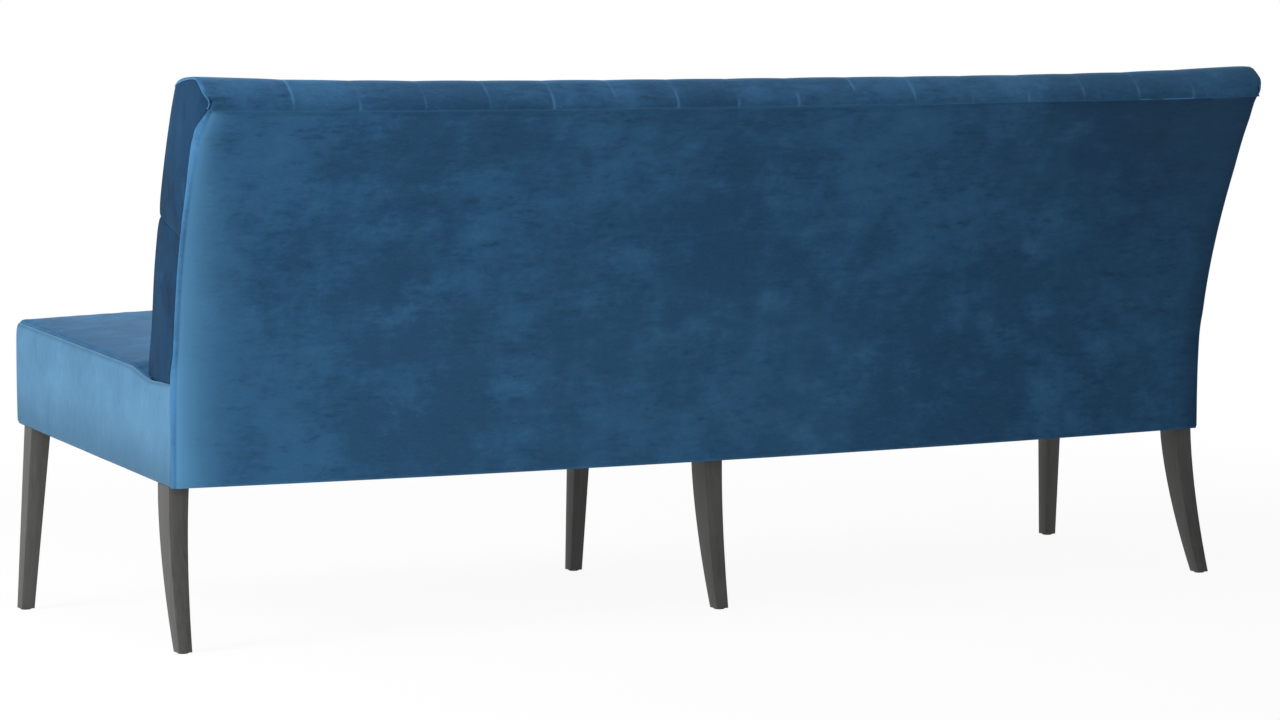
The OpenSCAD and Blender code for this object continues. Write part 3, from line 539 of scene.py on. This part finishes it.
def panel_point(side, distance, v, depth):
    """A point of the border v of the way up, depth inside its face."""
    place, out = border_at(distance)
    low = underside(place.y)
    high = border_top(place.y)
    tuck = bottom_tuck(v * (high - low)) + top_tuck((1 - v) * (high - low))
    from_end = min(distance, border_run - distance)
    swell = border_swell * math.sin(math.pi * v) * smooth(from_end, 0, swell_run)
    ripple = 0.00035 * noise.noise(Vector((place.x * 9, place.y * 9, v * 2)))
    place = place + out * (swell + ripple - tuck - depth)
    return Vector((side * place.x, place.y, low + v * (high - low)))



def side_mark(u, v):
    """Painted highlight along the seat's seam, with painted shade in a groove under it and painted
    shade that deepens towards the bottom.
    """
    groove = 1 - smooth(abs(v - 0.965), 0, 0.03)
    return 0.5 * (1 - smooth(1 - v, 0, 0.03)) - 0.55 * (1 - smooth(v, 0, 0.7)) - 0.35 * groove


# A much paler copy of the velvet, as painted light
side_velvet = velvet("velvet_seat_side", (3.25, 1.85, 1.43), 0.15, run="z", contrast=0.4)
for side, name in ((1, "right"), (-1, "left")):
    panel = sewn_pad(
        150, 34,
        lambda u, v: panel_point(side, u * border_run, v, 0),
        lambda u, v: panel_point(side, u * border_run, drawn_in(v), velvet_thickness),
        side_mark)
    add_piece(f"side_panel_{name}", panel, side_velvet, "velvet", f"seat_side_panel_{name}")


def front_panel_point(u, v, depth):
    x = (2 * u - 1) * (panel_seam_x - seam_gap)
    low = underside(front_y)
    height = border_top(front_y) - low
    tuck = bottom_tuck(v * height) + top_tuck((1 - v) * height)
    side_tuck = 0.0018 * (1 - roll((panel_seam_x - abs(x)) / 0.006))
    swell = border_swell * math.sin(math.pi * v) * smooth(panel_seam_x - abs(x), 0, swell_run)
    ripple = 0.0004 * noise.noise(Vector((x * 6, 3, v * 2)))
    return Vector((x, front_y - swell - ripple + tuck + side_tuck + depth, low + v * height))


# A lighter copy of the velvet, as painted light, with a painted highlight along its top and bottom
# edges
front_velvet = velvet("velvet_seat_front", (1.3, 1.15, 1.1), 0.4)
front = sewn_pad(
    220, 30,
    lambda u, v: front_panel_point(u, v, 0),
    lambda u, v: front_panel_point(u, drawn_in(v), velvet_thickness),
    lambda u, v: 0.6 * (1 - smooth(min(v, 1 - v), 0, 0.035)))
add_piece("front_panel", front, front_velvet, "velvet", "seat_front_panel")


# Seat top
# One crowned panel of velvet over wadding, sewn to the border. A row of stitches holds the seam
# allowance down just below the join, and the panel runs on under the back to the frame.
seat_back_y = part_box("seat_top_cover")[1].y + 0.010
seat_span = seat_back_y - front_y
edge_roll = 0.006
edge_run = 0.080
seat_crown = 0.012
seat_edge = 0.0018
seat_columns = 230


def corner_inset(d):
    """How much narrower the seat is at d behind its front edge, where its corners are rounded."""
    if d >= front_round:
        return 0
    return front_round - math.sqrt(max(0, front_round ** 2 - (front_round - d) ** 2))


def seat_rise_at(x_share, d):
    """Height of the seat's top above its seam."""
    half = half_width(front_y + d) - corner_inset(d)
    from_side = (1 - abs(x_share)) * half
    edge = min(from_side, d)
    low = edge_roll * min(roll(from_side / edge_run), roll(d / edge_run))
    crown = seat_crown * (1 - x_share ** 4) * math.sin(math.pi * min(1, 0.3 + 0.6 * d / seat_span))
    gathers = 0.0007 * noise.noise(Vector((x_share * half * 48, d * 48, 0)))
    gathers *= smooth(0.05 - edge, 0, 0.04)
    wander = 0.0011 * noise.noise(Vector((x_share * half * 3.2, d * 5, 7)))
    groove = 0.0011 * math.exp(-(((edge - 0.0036) / 0.0013) ** 2))
    under_back = 1 - 0.9 * smooth(d, seat_span - 0.016, seat_span)
    return seat_edge + (low + crown + gathers + wander - groove) * under_back


def seat_top_point(u, v, inner=False):
    t = 2 * u - 1
    # The columns lie closer together near the sides, and the rows near the front
    share = math.copysign(1 - (1 - abs(t)) ** 1.7, t)
    d = seat_span * (v ** 1.6 if v < 0.5 else 0.5 ** 1.6 + (v - 0.5) * 2 * (1 - 0.5 ** 1.6))
    y = front_y + d + top_tuck(0) * (1 - smooth(d, 0, 0.05))
    base = border_top(y) + seam_gap
    x = share * (half_width(y) - corner_inset(d) - top_tuck(0))
    return Vector((x, y, base if inner else base + seat_rise_at(share, d)))


def seat_top_mark(u, v):
    """Painted highlight along the sides' seams, and painted shadow towards the back."""
    columns_in = min(u, 1 - u) * seat_columns
    return 0.6 * (1 - smooth(columns_in, 0, 5)) * (1 - v) - 0.5 * smooth(v, 0.72, 0.97)


# A slightly lighter copy of the velvet, as painted light
top_velvet = velvet("velvet_seat_top", (1.1, 1.12, 1.12), 0.5, contrast=1.5, sheen=0.2)
seat_top = sewn_pad(seat_columns, 110, seat_top_point,
                    lambda u, v: seat_top_point(u, v, True), seat_top_mark)
seat_pad = add_piece("seat_top", seat_top, top_velvet, "velvet", "seat_top_cover")


def stitch_thread():
    finish = Finish("blue_thread")
    twist = finish.mottle((900, 900, 900), detail=1)
    base = finish.tint(twist, (0.012, 0.045, 0.11, 1), (0.03, 0.09, 0.18, 1))
    return finish.surface(Base_Color=base, Roughness=0.6 + 0.1 * twist)


thread = stitch_thread()
stitch_length = 0.0042
stitch_width = 0.0009
stitch_pitch = stitch_length + 0.0016
stitch_drop = 0.0034
stitch_inset = top_tuck(stitch_drop) - 0.0002
stitches = bmesh.new()
for side in (1, -1):
    for step in range(int(border_run / stitch_pitch)):
        distance = (step + 0.5) * stitch_pitch
        place, out = border_at(distance)
        ahead, _ = border_at(distance + 0.002)
        slope_end = border_top(ahead.y) - border_top(place.y)
        along = Vector((ahead.x - place.x, ahead.y - place.y, slope_end)).normalized()
        x = place.x - out.x * stitch_inset
        y = place.y - out.y * stitch_inset
        turn = along.to_track_quat("X", "Z").to_matrix().to_4x4()
        height = border_top(place.y) - stitch_drop
        bmesh.ops.create_icosphere(stitches, subdivisions=1, radius=0.5, matrix=(
            Matrix.Translation((side * x, y, height))
            @ Matrix.Diagonal((side, 1, 1, 1)) @ turn
            @ Matrix.Diagonal((stitch_length, stitch_width, stitch_width, 1))))
for step in range(int(2 * panel_seam_x / stitch_pitch)):
    x = -panel_seam_x + (step + 0.5) * stitch_pitch
    bmesh.ops.create_icosphere(stitches, subdivisions=1, radius=0.5, matrix=(
        Matrix.Translation((x, front_y + stitch_inset, border_top(front_y) - stitch_drop))
        @ Matrix.Diagonal((stitch_length, stitch_width, stitch_width, 1))))
bmesh.ops.recalc_face_normals(stitches, faces=stitches.faces)
add_piece("seat_seam_stitches", stitches, thread, "velvet")


# Back frame
# Curved beech uprights stand over the rear rail, closed at the ends by plywood cheeks and tied by
# a top rail and two plywood rails. Straps run up its front and hardboard covers its outside.
def birch_plywood():
    finish = Finish("birch_plywood")
    grain = finish.mottle((12, 60, 8), detail=5, distortion=0.5)
    plies = finish.node("ShaderNodeTexWave", {"bands_direction": "X"},
                        {"Vector": finish.stretched((1, 1, 1)), "Scale": 55.0, "Distortion": 0.3})
    base = finish.tint(grain, (0.66, 0.51, 0.33, 1), (0.52, 0.37, 0.21, 1))
    base = finish.tint(plies * 0.25, base, (0.38, 0.25, 0.13, 1))
    return finish.surface(Base_Color=base, Roughness=0.62 + 0.12 * grain,
                          Normal=finish.bump(grain, 0.0003, 0.4))


finish_nodes(beech, "hardwood", "back_upright_left", "back_upright_mid_left", "back_upright_middle",
             "back_upright_mid_right", "back_upright_right", "back_top_rail")
finish_nodes(birch_plywood(), "plywood", "back_cheek_left", "back_cheek_right", "back_middle_rail",
             "back_bottom_rail", "outside_back_board")
finish_nodes(straps, "webbing", "back_webbing")

# Outside back
# One wide panel of velvet, stretched over the hardboard, tacked under the rear rail and blind
# sewn to the top roll and to the end panels, with its ends turned in round the corners.
back_radius = 1.067
sweep_z = 0.300
roll_seam_s = 0.601
middle_seam_s = 0.370
corner_round = 0.009
back_cover_thickness = 0.003
sweep_centre_y = rear_y + back_radius
# How much lower the velvet lies along the middle of the bench than at its ends
back_bow = 0.007
# Share of the panel's width that each turned-in end takes up in the grid, and its lowest place
turn_share = 0.07
panel_low_s = cover_low.z - sweep_z


def back_point(x, off, s):
    """A point of the back: off in front of its outside, and s along its sweep."""
    turn = max(s, 0) / back_radius
    reach = back_radius + off
    y = sweep_centre_y - reach * math.cos(turn)
    return Vector((x, y, sweep_z + min(s, 0) + reach * math.sin(turn)))


def turn_depth(s):
    """How far the outside back's velvet turns in over the ends of the back."""
    sweep = back_radius * (1 - math.cos(max(0, s) / back_radius))
    beside_seat = sweep * (1 - smooth(s, 0.130, 0.180))
    beside_back = (0.007 + 0.011 * smooth(s, 0.44, 0.54)) * (1 - 0.8 * smooth(s, 0.54, roll_seam_s))
    return beside_back + beside_seat


def end_reach(off, s):
    """How far the padding swells out past the ends of the frame, less round the roll's corners."""
    corner = smooth(0.022 - off, 0, 0.026) * smooth(s, 0.545, 0.60)
    return 0.009 * smooth(s, 0.12, 0.50) - 0.008 * corner


def bow_along(x):
    return back_bow * (1 - (x / half_length) ** 2)


def outside_point(u, v, inner=False):
    s = panel_low_s + (roll_seam_s - panel_low_s) * v
    t = 2 * u - 1
    lead = (abs(t) - (1 - 2 * turn_share)) / (2 * turn_share)
    thickness = back_cover_thickness if inner else 0
    if lead > 0:
        angle = math.pi / 2 * (1 - lead)
        off = thickness + (turn_depth(s) - thickness) * (1 - math.sin(angle))
        x = half_length + end_reach(off, s) - thickness
        x -= (corner_round - thickness) * (1 - math.cos(angle))
    else:
        off = thickness
        x = (half_length + end_reach(off, s) - corner_round) * abs(t) / (1 - 2 * turn_share)
    x = math.copysign(x, t)
    if not inner:
        flat = 1 - smooth(lead, -0.2, 0.2)
        from_top = roll_seam_s - s
        from_low = s - panel_low_s
        off += 0.0014 * math.exp(-from_top / 0.004) + 0.0024 * (1 - roll(from_low / 0.005))
        pull = noise.noise(Vector((x * 5.5, s * 3.0, 2)))
        pull += 0.5 * noise.noise(Vector((x * 14, s * 4.0, 5)))
        off -= flat * 0.0011 * pull * smooth(from_top, 0, 0.05) * smooth(from_low, 0, 0.04)
        gather = noise.noise(Vector((x * 22, 0.5, 9))) * math.exp(-from_top / 0.035)
        off += flat * 0.0009 * gather * smooth(from_top, 0, 0.006)
    return back_point(x, off, s - bow_along(x))


def outside_mark(u, v):
    """Painted highlight where the velvet turns the right-hand corner and along the seam at the top,
    painted light at the bottom edge and over the lower half, and painted shade towards the left
    end."""
    t = 2 * u - 1
    before_turn = max(0, 1 - 2 * turn_share - t) * half_length
    fade = 0.055 * (1 - 0.65 * smooth(v, 0.55, 0.95))
    turned = smooth(t, 1 - 2 * turn_share, 1 - 1.3 * turn_share)
    right = (0.85 - 0.2 * v) * math.exp(-before_turn / fade) * (1 - 0.7 * turned)
    left = max(smooth(-t, 1 - 3.5 * turn_share, 1 - 1.4 * turn_share),
               (0.25 + 0.6 * v) * smooth(-t, 0.1, 1))
    top = 0.6 * smooth(v, 0.985, 1)
    low = 0.15 * (1 - smooth(v, 0, 0.008)) + 0.15 * (1 - smooth(v, 0.3, 0.8))
    return max(right, top, low) - left * (1 - smooth(v, 0.990, 1))


outside_velvet = velvet(
    "velvet_outside_back", (1.06, 1.04, 1.04), 0.4, contrast=1.35, seam_glow=1.0)
outside = sewn_pad(190, 120, outside_point, lambda u, v: outside_point(u, v, True), outside_mark)
add_piece("outside_back", outside, outside_velvet, "velvet", "outside_back_cover")

# Lower inside back
# A plain padded panel between the seat and the middle seam, its velvet drawn in along both.
back_thickness = 0.103
back_crown = 0.010
seam_tuck = 0.009
cover_half = half_length - velvet_thickness - seam_gap
# Where the padding starts, in front of the outside back
pad_inner = 0.0779
panel_foot_s = back_radius * math.asin((back_seat_z - sweep_z) / back_radius)


def crown_along(x):
    return 1 - (abs(x) / cover_half) ** 6


def end_drop(x):
    return 0.005 * (1 - roll((cover_half - abs(x)) / 0.026))


def swollen(x, off, s):
    """Carries the ends of a pad out to the swell of the back's ends."""
    return x + math.copysign(end_reach(off, s) * smooth(abs(x), 0.87, cover_half), x)


def spread(u):
    """Places along the bench from -1 to 1, closer together near the ends."""
    t = 2 * u - 1
    return math.copysign(1 - (1 - abs(t)) ** 1.6, t)


def lower_point(u, v, inner=False):
    x = cover_half * spread(u)
    s = panel_foot_s + seam_gap + (middle_seam_s - panel_foot_s - 2 * seam_gap) * v
    if inner:
        return back_point(x, pad_inner, s)
    off = back_thickness - seam_tuck * (1 - roll(min(v, 1 - v) / 0.14)) - end_drop(x)
    off += back_crown * crown_along(x) * math.sin(math.pi * v)
    off += 0.0012 * noise.noise(Vector((x * 4, s * 6, 4))) * smooth(min(v, 1 - v), 0, 0.2)
    off += 0.0008 * noise.noise(Vector((x * 26, s * 5, 6))) * math.exp(-min(v, 1 - v) / 0.12)
    return back_point(swollen(x, off, s), off, s)


inside_velvet = velvet("velvet_inside_back", (0.95, 0.95, 0.95), 0.5)
# Painted highlight along its top and bottom seams
lower = sewn_pad(210, 44, lower_point, lambda u, v: lower_point(u, v, True),
                 lambda u, v: 0.5 * (1 - smooth(min(v, 1 - v), 0, 0.04)))
lower_pad = add_piece("lower_inside_back", lower, inside_velvet, "velvet", "lower_back_cover")

# Upper inside back and top roll
# Deep buttoned velvet: three rows of buttons joined by diagonal pleats. From the top row each
# pleat runs straight up, over the top roll and down to the seam of the outside back.
pleat_count = 16
pleat_margin = 0.141
pleat_pitch = (2 * half_length - 2 * pleat_margin) / (pleat_count - 1)
# The lowest row of buttons stands this far above the middle seam, the highest below the roll's
lowest_row = 0.052
highest_row = 0.061
row_gap = (roll_seam_s - middle_seam_s - lowest_row - highest_row) / 2
button_middle = lowest_row + row_gap
button_depth = 0.024
roll_middle = 0.051
roll_foot_s = roll_seam_s - 0.030
roll_rise = 0.057
roll_reach = back_thickness + back_crown - roll_middle
roll_turn = math.radians(154)
roll_sag = 0.013
roll_lean = 0.62
# Shares of the way round the pad at which its front ends and its last tuck to the seam begins
front_share = 0.60
tuck_share = 0.96
# Height of the pleats' last full row, in rows above the middle one
last_row = 1.27


def fold(t, low, high):
    """0 in the pleats, at whole numbers, and 1 halfway between them or outside low and high."""
    return 1 if t < low or t > high else abs(math.sin(math.pi * t))


def buttoned(u, w):
    """How full the padding is, from 0 at a button to 1. u counts pleats and w rows."""
    if abs(w) <= 1:
        a = fold(u + (w - 1) / 2, -0.5, pleat_count - 1.5)
        b = fold(u - (w - 1) / 2, 0.5, pleat_count - 0.5)
        nearest = min(max(round(u), 0), pleat_count - 1)
        pit = min(1, 4 * math.hypot(u - nearest, (abs(w) - 1) / 2))
        return pit * (0.45 * max(a, b) ** 0.8 + 0.55 * math.sqrt(a * b))
    depth = max(0.045, 1 - 0.85 * (w - 1)) if w > 1 else max(0.2, 1 + 0.75 * (1 + w))
    return 1 - depth * (1 - fold(u, -0.5, pleat_count - 0.5) ** 0.5)


def rolled(reach, rise, angle, x=0.0):
    """A point of the top roll in cross section, as off and s."""
    forward = reach * math.copysign(abs(math.cos(angle)) ** 0.7, math.cos(angle))
    s = roll_foot_s + (rise - roll_lean * max(0, forward)) * max(0, math.sin(angle)) ** 0.7
    return roll_middle + forward * (1 + 0.10 * (abs(x) / cover_half) ** 4 * (forward > 0)), s


def upper_row(v, x):
    """Outside off and s, inside off and s, and row w, of the upper pad v of the way round it."""
    if v < front_share:
        height = (roll_foot_s - middle_seam_s) * v / front_share
        s = middle_seam_s + seam_gap + height
        w = (height - button_middle) / row_gap
        if w > last_row:
            w = last_row + (2 - last_row) * smooth(
                height, button_middle + last_row * row_gap, roll_foot_s - middle_seam_s)
        off = back_thickness - seam_tuck * (1 - roll(height / 0.030))
        swell = back_crown * (crown_along(x) if height < 0.186 else 1) * roll(min(1, (w + 2.2) / 2))
        edge_lift = 0.010 * (1 - crown_along(x)) * smooth(height, 0.02, 0.20)
        return off + swell + edge_lift, s, pad_inner, s, w
    turn = min(1, (v - front_share) / (tuck_share - front_share))
    angle = roll_turn * turn
    off, s = rolled(roll_reach, roll_rise, angle, x)
    inner_off, inner_s = rolled(pad_inner + 0.002 - roll_middle, roll_rise - 0.025, angle)
    w = 2 + angle / math.pi
    if v > tuck_share:
        last = (v - tuck_share) / (1 - tuck_share)
        seam_s = roll_seam_s + seam_gap
        off += (0.0010 - off) * last ** 1.8
        s += (seam_s - s) * last
        inner_off += (0.0103 - inner_off) * last
        inner_s += (seam_s - inner_s) * last
    return off, s, inner_off, inner_s, w


# Each end of the pad has 28 columns of faces and each pleat 24, so that the creases stay crisp
end_columns = 28
pleat_columns = 24
pad_columns = 2 * end_columns + (pleat_count - 1) * pleat_columns


def pleated_place(u):
    """Place along the bench for u from 0 to 1, with a column of vertices on each pleat."""
    column = abs(2 * u - 1) * pad_columns / 2
    pleated = (pleat_count - 1) * pleat_columns / 2
    if column <= pleated:
        return math.copysign(column / pleat_columns * pleat_pitch, u - 0.5)
    first = pleated / pleat_columns * pleat_pitch
    return math.copysign(first + (cover_half - first) * (column - pleated) / end_columns, u - 0.5)


def upper_point(u, v, inner=False):
    x = pleated_place(u)
    off, s, inner_off, inner_s, w = upper_row(v, x)
    lowered = bow_along(x) * smooth(v, 0.70, 0.95)
    if inner:
        return back_point(x, inner_off, inner_s - lowered)
    over = (0.0035 - 0.0095 * smooth(v, 0.87, 1)) * smooth(v, 0.58, 0.64)
    over = math.copysign(over * smooth(abs(x), 0.93, cover_half), x)
    sag = roll_sag * (1 - (abs(x) / cover_half) ** 4) * math.sin(math.pi * min(1, max(0, w - 2)))
    pleats = x / pleat_pitch + (pleat_count - 1) / 2
    drop = button_depth * (1 - buttoned(pleats, w))
    drop += (0.6 - 0.4 * smooth(v, 0.56, 0.64)) * end_drop(x)
    reach = math.hypot(off - inner_off, s - inner_s)
    keep = 1 - min(drop, reach - 0.002) / reach
    off = inner_off + (off - inner_off) * keep
    s = inner_s + (s - inner_s) * keep
    wander = 0.0010 * noise.noise(Vector((x * 9, v * 7, 3))) * smooth(1 - v, 0, 0.08)
    return back_point(swollen(x, off, s) + over, off + wander, s - max(sag, lowered))


def pleat_mark(u, v):
    """Painted highlight along the pleats on the roll and along its seam, and painted light towards
    the left end.
    """
    x = pleated_place(u)
    pleats = x / pleat_pitch + (pleat_count - 1) / 2
    away = abs(pleats - round(pleats)) * pleat_pitch
    inside = -0.5 < pleats < pleat_count - 0.5
    # How strong each pleat's painted highlight is, varying at random
    painted_highlight = 0.25 + 0.55 * smooth(noise.noise(Vector((round(pleats) * 3.7, v * 9, 1))), -0.3, 0.4)
    pleat = (1 - smooth(away, 0.0002, 0.0030)) * inside * smooth(v, 0.68, 0.80) * painted_highlight
    # The seam's painted highlight is brighter near the left end, where it is worn shiny, in a long
    # stretch and a short one
    shine = smooth(0.036 - abs(x + 0.826), 0, 0.006)
    shine += 0.7 * smooth(0.014 - abs(x + 0.756), 0, 0.006)
    seam = 0.3 + 0.1 * noise.noise(Vector((x * 4, 0, 6))) + 0.7 * min(1, shine)
    seam *= smooth(v, 0.948, 0.962)
    # Painted light towards the left end of the roll
    brushing_and_painted_light = 0.17 * smooth(-x, -0.75, 0.6) * smooth(v, 0.62, 0.70)
    return max(0.62 * pleat, seam, brushing_and_painted_light)


roll_velvet = velvet(
    "velvet_buttoned_back", (1.07, 1.0, 1.01), 0.5, contrast=1.6, seam_glow=0.85)
upper = sewn_pad(
    pad_columns, 104, upper_point, lambda u, v: upper_point(u, v, True), pleat_mark)
upper_pad = add_piece("buttoned_back", upper, roll_velvet, "velvet", "upper_back_cover")

# Buttons
# Metal button shells covered with the same velvet, drawn down into the padding with twine.
button_radius = 0.009
button_flatness = 0.42
button_rise = 0.0078


def covered_buttons(name, w):
    """A row of buttons, w rows above the middle one, which has one less and stands between."""
    shift = 0.5 if w == 0 else 0
    row = bmesh.new()
    for index in range(pleat_count - (w == 0)):
        x = (index + shift - (pleat_count - 1) / 2) * pleat_pitch
        s = middle_seam_s + 2 * seam_gap + button_middle + w * row_gap
        off = back_thickness + back_crown * crown_along(x) - button_depth + button_rise
        turn = s / back_radius
        placed = (Matrix.Translation(back_point(x, off, s))
                  @ Matrix.Rotation(math.pi / 2 - turn, 4, "X")
                  @ Matrix.Diagonal((1, 1, button_flatness, 1)))
        bmesh.ops.create_uvsphere(
            row, u_segments=20, v_segments=12, radius=button_radius, matrix=placed)
    return add_piece(name, row, roll_velvet, "velvet", f"buttons_{name.split('_')[0]}_row")


for name, w in (("top_buttons", 1), ("middle_buttons", 0), ("bottom_buttons", -1)):
    covered_buttons(name, w)

# End panels
# Thin padded panels over the plywood cheeks, below and above the middle seam. Their velvet is
# painted much darker than the rest, as painted shade. A fine welt of velvet follows the upper
# panel's top, painted lighter as a painted highlight.
end_puff = 0.0030
arc_turn = math.radians(150)
# How far the lower end panels' foot reaches into the border's top edge
foot_sink = 0.002


def panel_front(s):
    """How far in front of the outside back the end panels' front edge stands."""
    near = min(abs(s - middle_seam_s), 0.030) / 0.030
    foot = 0.006 * (1 - smooth(s, panel_foot_s, panel_foot_s + 0.07))
    lift = 0.010 * smooth(s, middle_seam_s + 0.02, roll_foot_s)
    return back_thickness + 0.003 - seam_tuck * (1 - roll(near)) + lift + foot


def patch(rear, front, low, high, u, v):
    """A point inside four edges. rear and front run up, low and high run forward."""
    corners = ((1 - u) * ((1 - v) * low(0) + v * high(0)) + u * ((1 - v) * low(1) + v * high(1)))
    return (1 - u) * rear(v) + u * front(v) + (1 - v) * low(u) + v * high(u) - corners


def level_foot(off):
    """Place along the sweep of the level foot of the end panels."""
    return back_radius * math.asin((back_seat_z - sweep_z) / (back_radius + off)) - foot_sink


def end_outline(upper_part, u, v):
    """Off and s of a place on an end panel."""
    first = middle_seam_s + seam_gap if upper_part else level_foot(0)
    last = roll_seam_s if upper_part else middle_seam_s - seam_gap
    tip = roll_foot_s if upper_part else last

    def rear(t):
        s = first + (last - first) * t
        return Vector((turn_depth(s) + seam_gap, s))

    def front(t):
        foot = first if upper_part else level_foot(panel_front(first))
        s = foot + (tip - foot) * t
        return Vector((panel_front(s), s))

    def low(t):
        return rear(0).lerp(front(0), t)

    def high(t):
        if not upper_part:
            return rear(1).lerp(front(1), t)
        angle = arc_turn * (1 - t)
        reach = panel_front(roll_foot_s) - roll_middle
        place = Vector(rolled(reach, roll_rise - 0.0030, angle))
        return place.lerp(rear(1), smooth(1 - t, 0.86, 1.0))
    return patch(rear, front, low, high, u, v)


def end_point(side, upper_part, u, v, inner=False):
    off, s = end_outline(upper_part, u, v)
    if inner:
        return back_point(side * (half_length - velvet_thickness), off, s)
    edge = min(u * 0.090, (1 - u) * 0.090, v * 0.22, (1 - v) * 0.22)
    x = half_length + end_reach(off, s) - 0.0018 * (1 - roll(edge / 0.004))
    x += end_puff * smooth(edge, 0, 0.035) + 0.0007 * noise.noise(Vector((off * 26, s * 11, side)))
    return back_point(side * x, off, s)


# A much darker copy of the velvet, as painted shade, with extra painted shade in its dark patches
end_velvet = velvet("velvet_end_panel", (0.18, 0.31, 0.36), 0.7, run="z", contrast=1.6,
                    painted_darkening=0.15, sheen=0.05)
for side, name in ((1, "right"), (-1, "left")):
    for part in ("lower", "upper"):
        # Painted highlight along each panel's top and bottom edges
        panel = sewn_pad(
            24, 46,
            lambda u, v: end_point(side, part == "upper", u, v),
            lambda u, v: end_point(side, part == "upper", u, v, True),
            lambda u, v: 0.4 * (1 - smooth(min(v, 1 - v), 0, 0.03)))
        add_piece(f"{part}_end_{name}", panel, end_velvet, "velvet", f"{part}_end_panel_{name}")

# A lighter copy of the velvet, as the welt's painted highlight
welt_velvet = velvet("velvet_welt", (1.6, 1.35, 1.2), 0.8)
welt_radius = 0.0016
welt_sink = 0.0006
welt_steps = 34
for side, name in ((1, "right"), (-1, "left")):
    line = bpy.data.curves.new(f"welt_{name}_line", "CURVE")
    line.dimensions = "3D"
    line.bevel_depth = welt_radius
    line.bevel_resolution = 3
    line.use_fill_caps = True
    spline = line.splines.new("POLY")
    spline.points.add(welt_steps)
    for step in range(welt_steps + 1):
        off, s = end_outline(True, 0.02 + 0.98 * step / welt_steps, 1.0)
        x = side * (half_length + end_reach(off, s) - welt_sink)
        spline.points[step].co = (*back_point(x, off, s), 1)
    holder = bpy.data.objects.new(f"welt_{name}_holder", line)
    tube = bmesh.new()
    tube.from_mesh(bpy.data.meshes.new_from_object(holder))
    bpy.data.objects.remove(holder)
    bmesh.ops.remove_doubles(tube, verts=tube.verts, dist=1e-6)
    bmesh.ops.recalc_face_normals(tube, faces=tube.faces)
    add_piece(f"welt_{name}", tube, welt_velvet, "velvet")
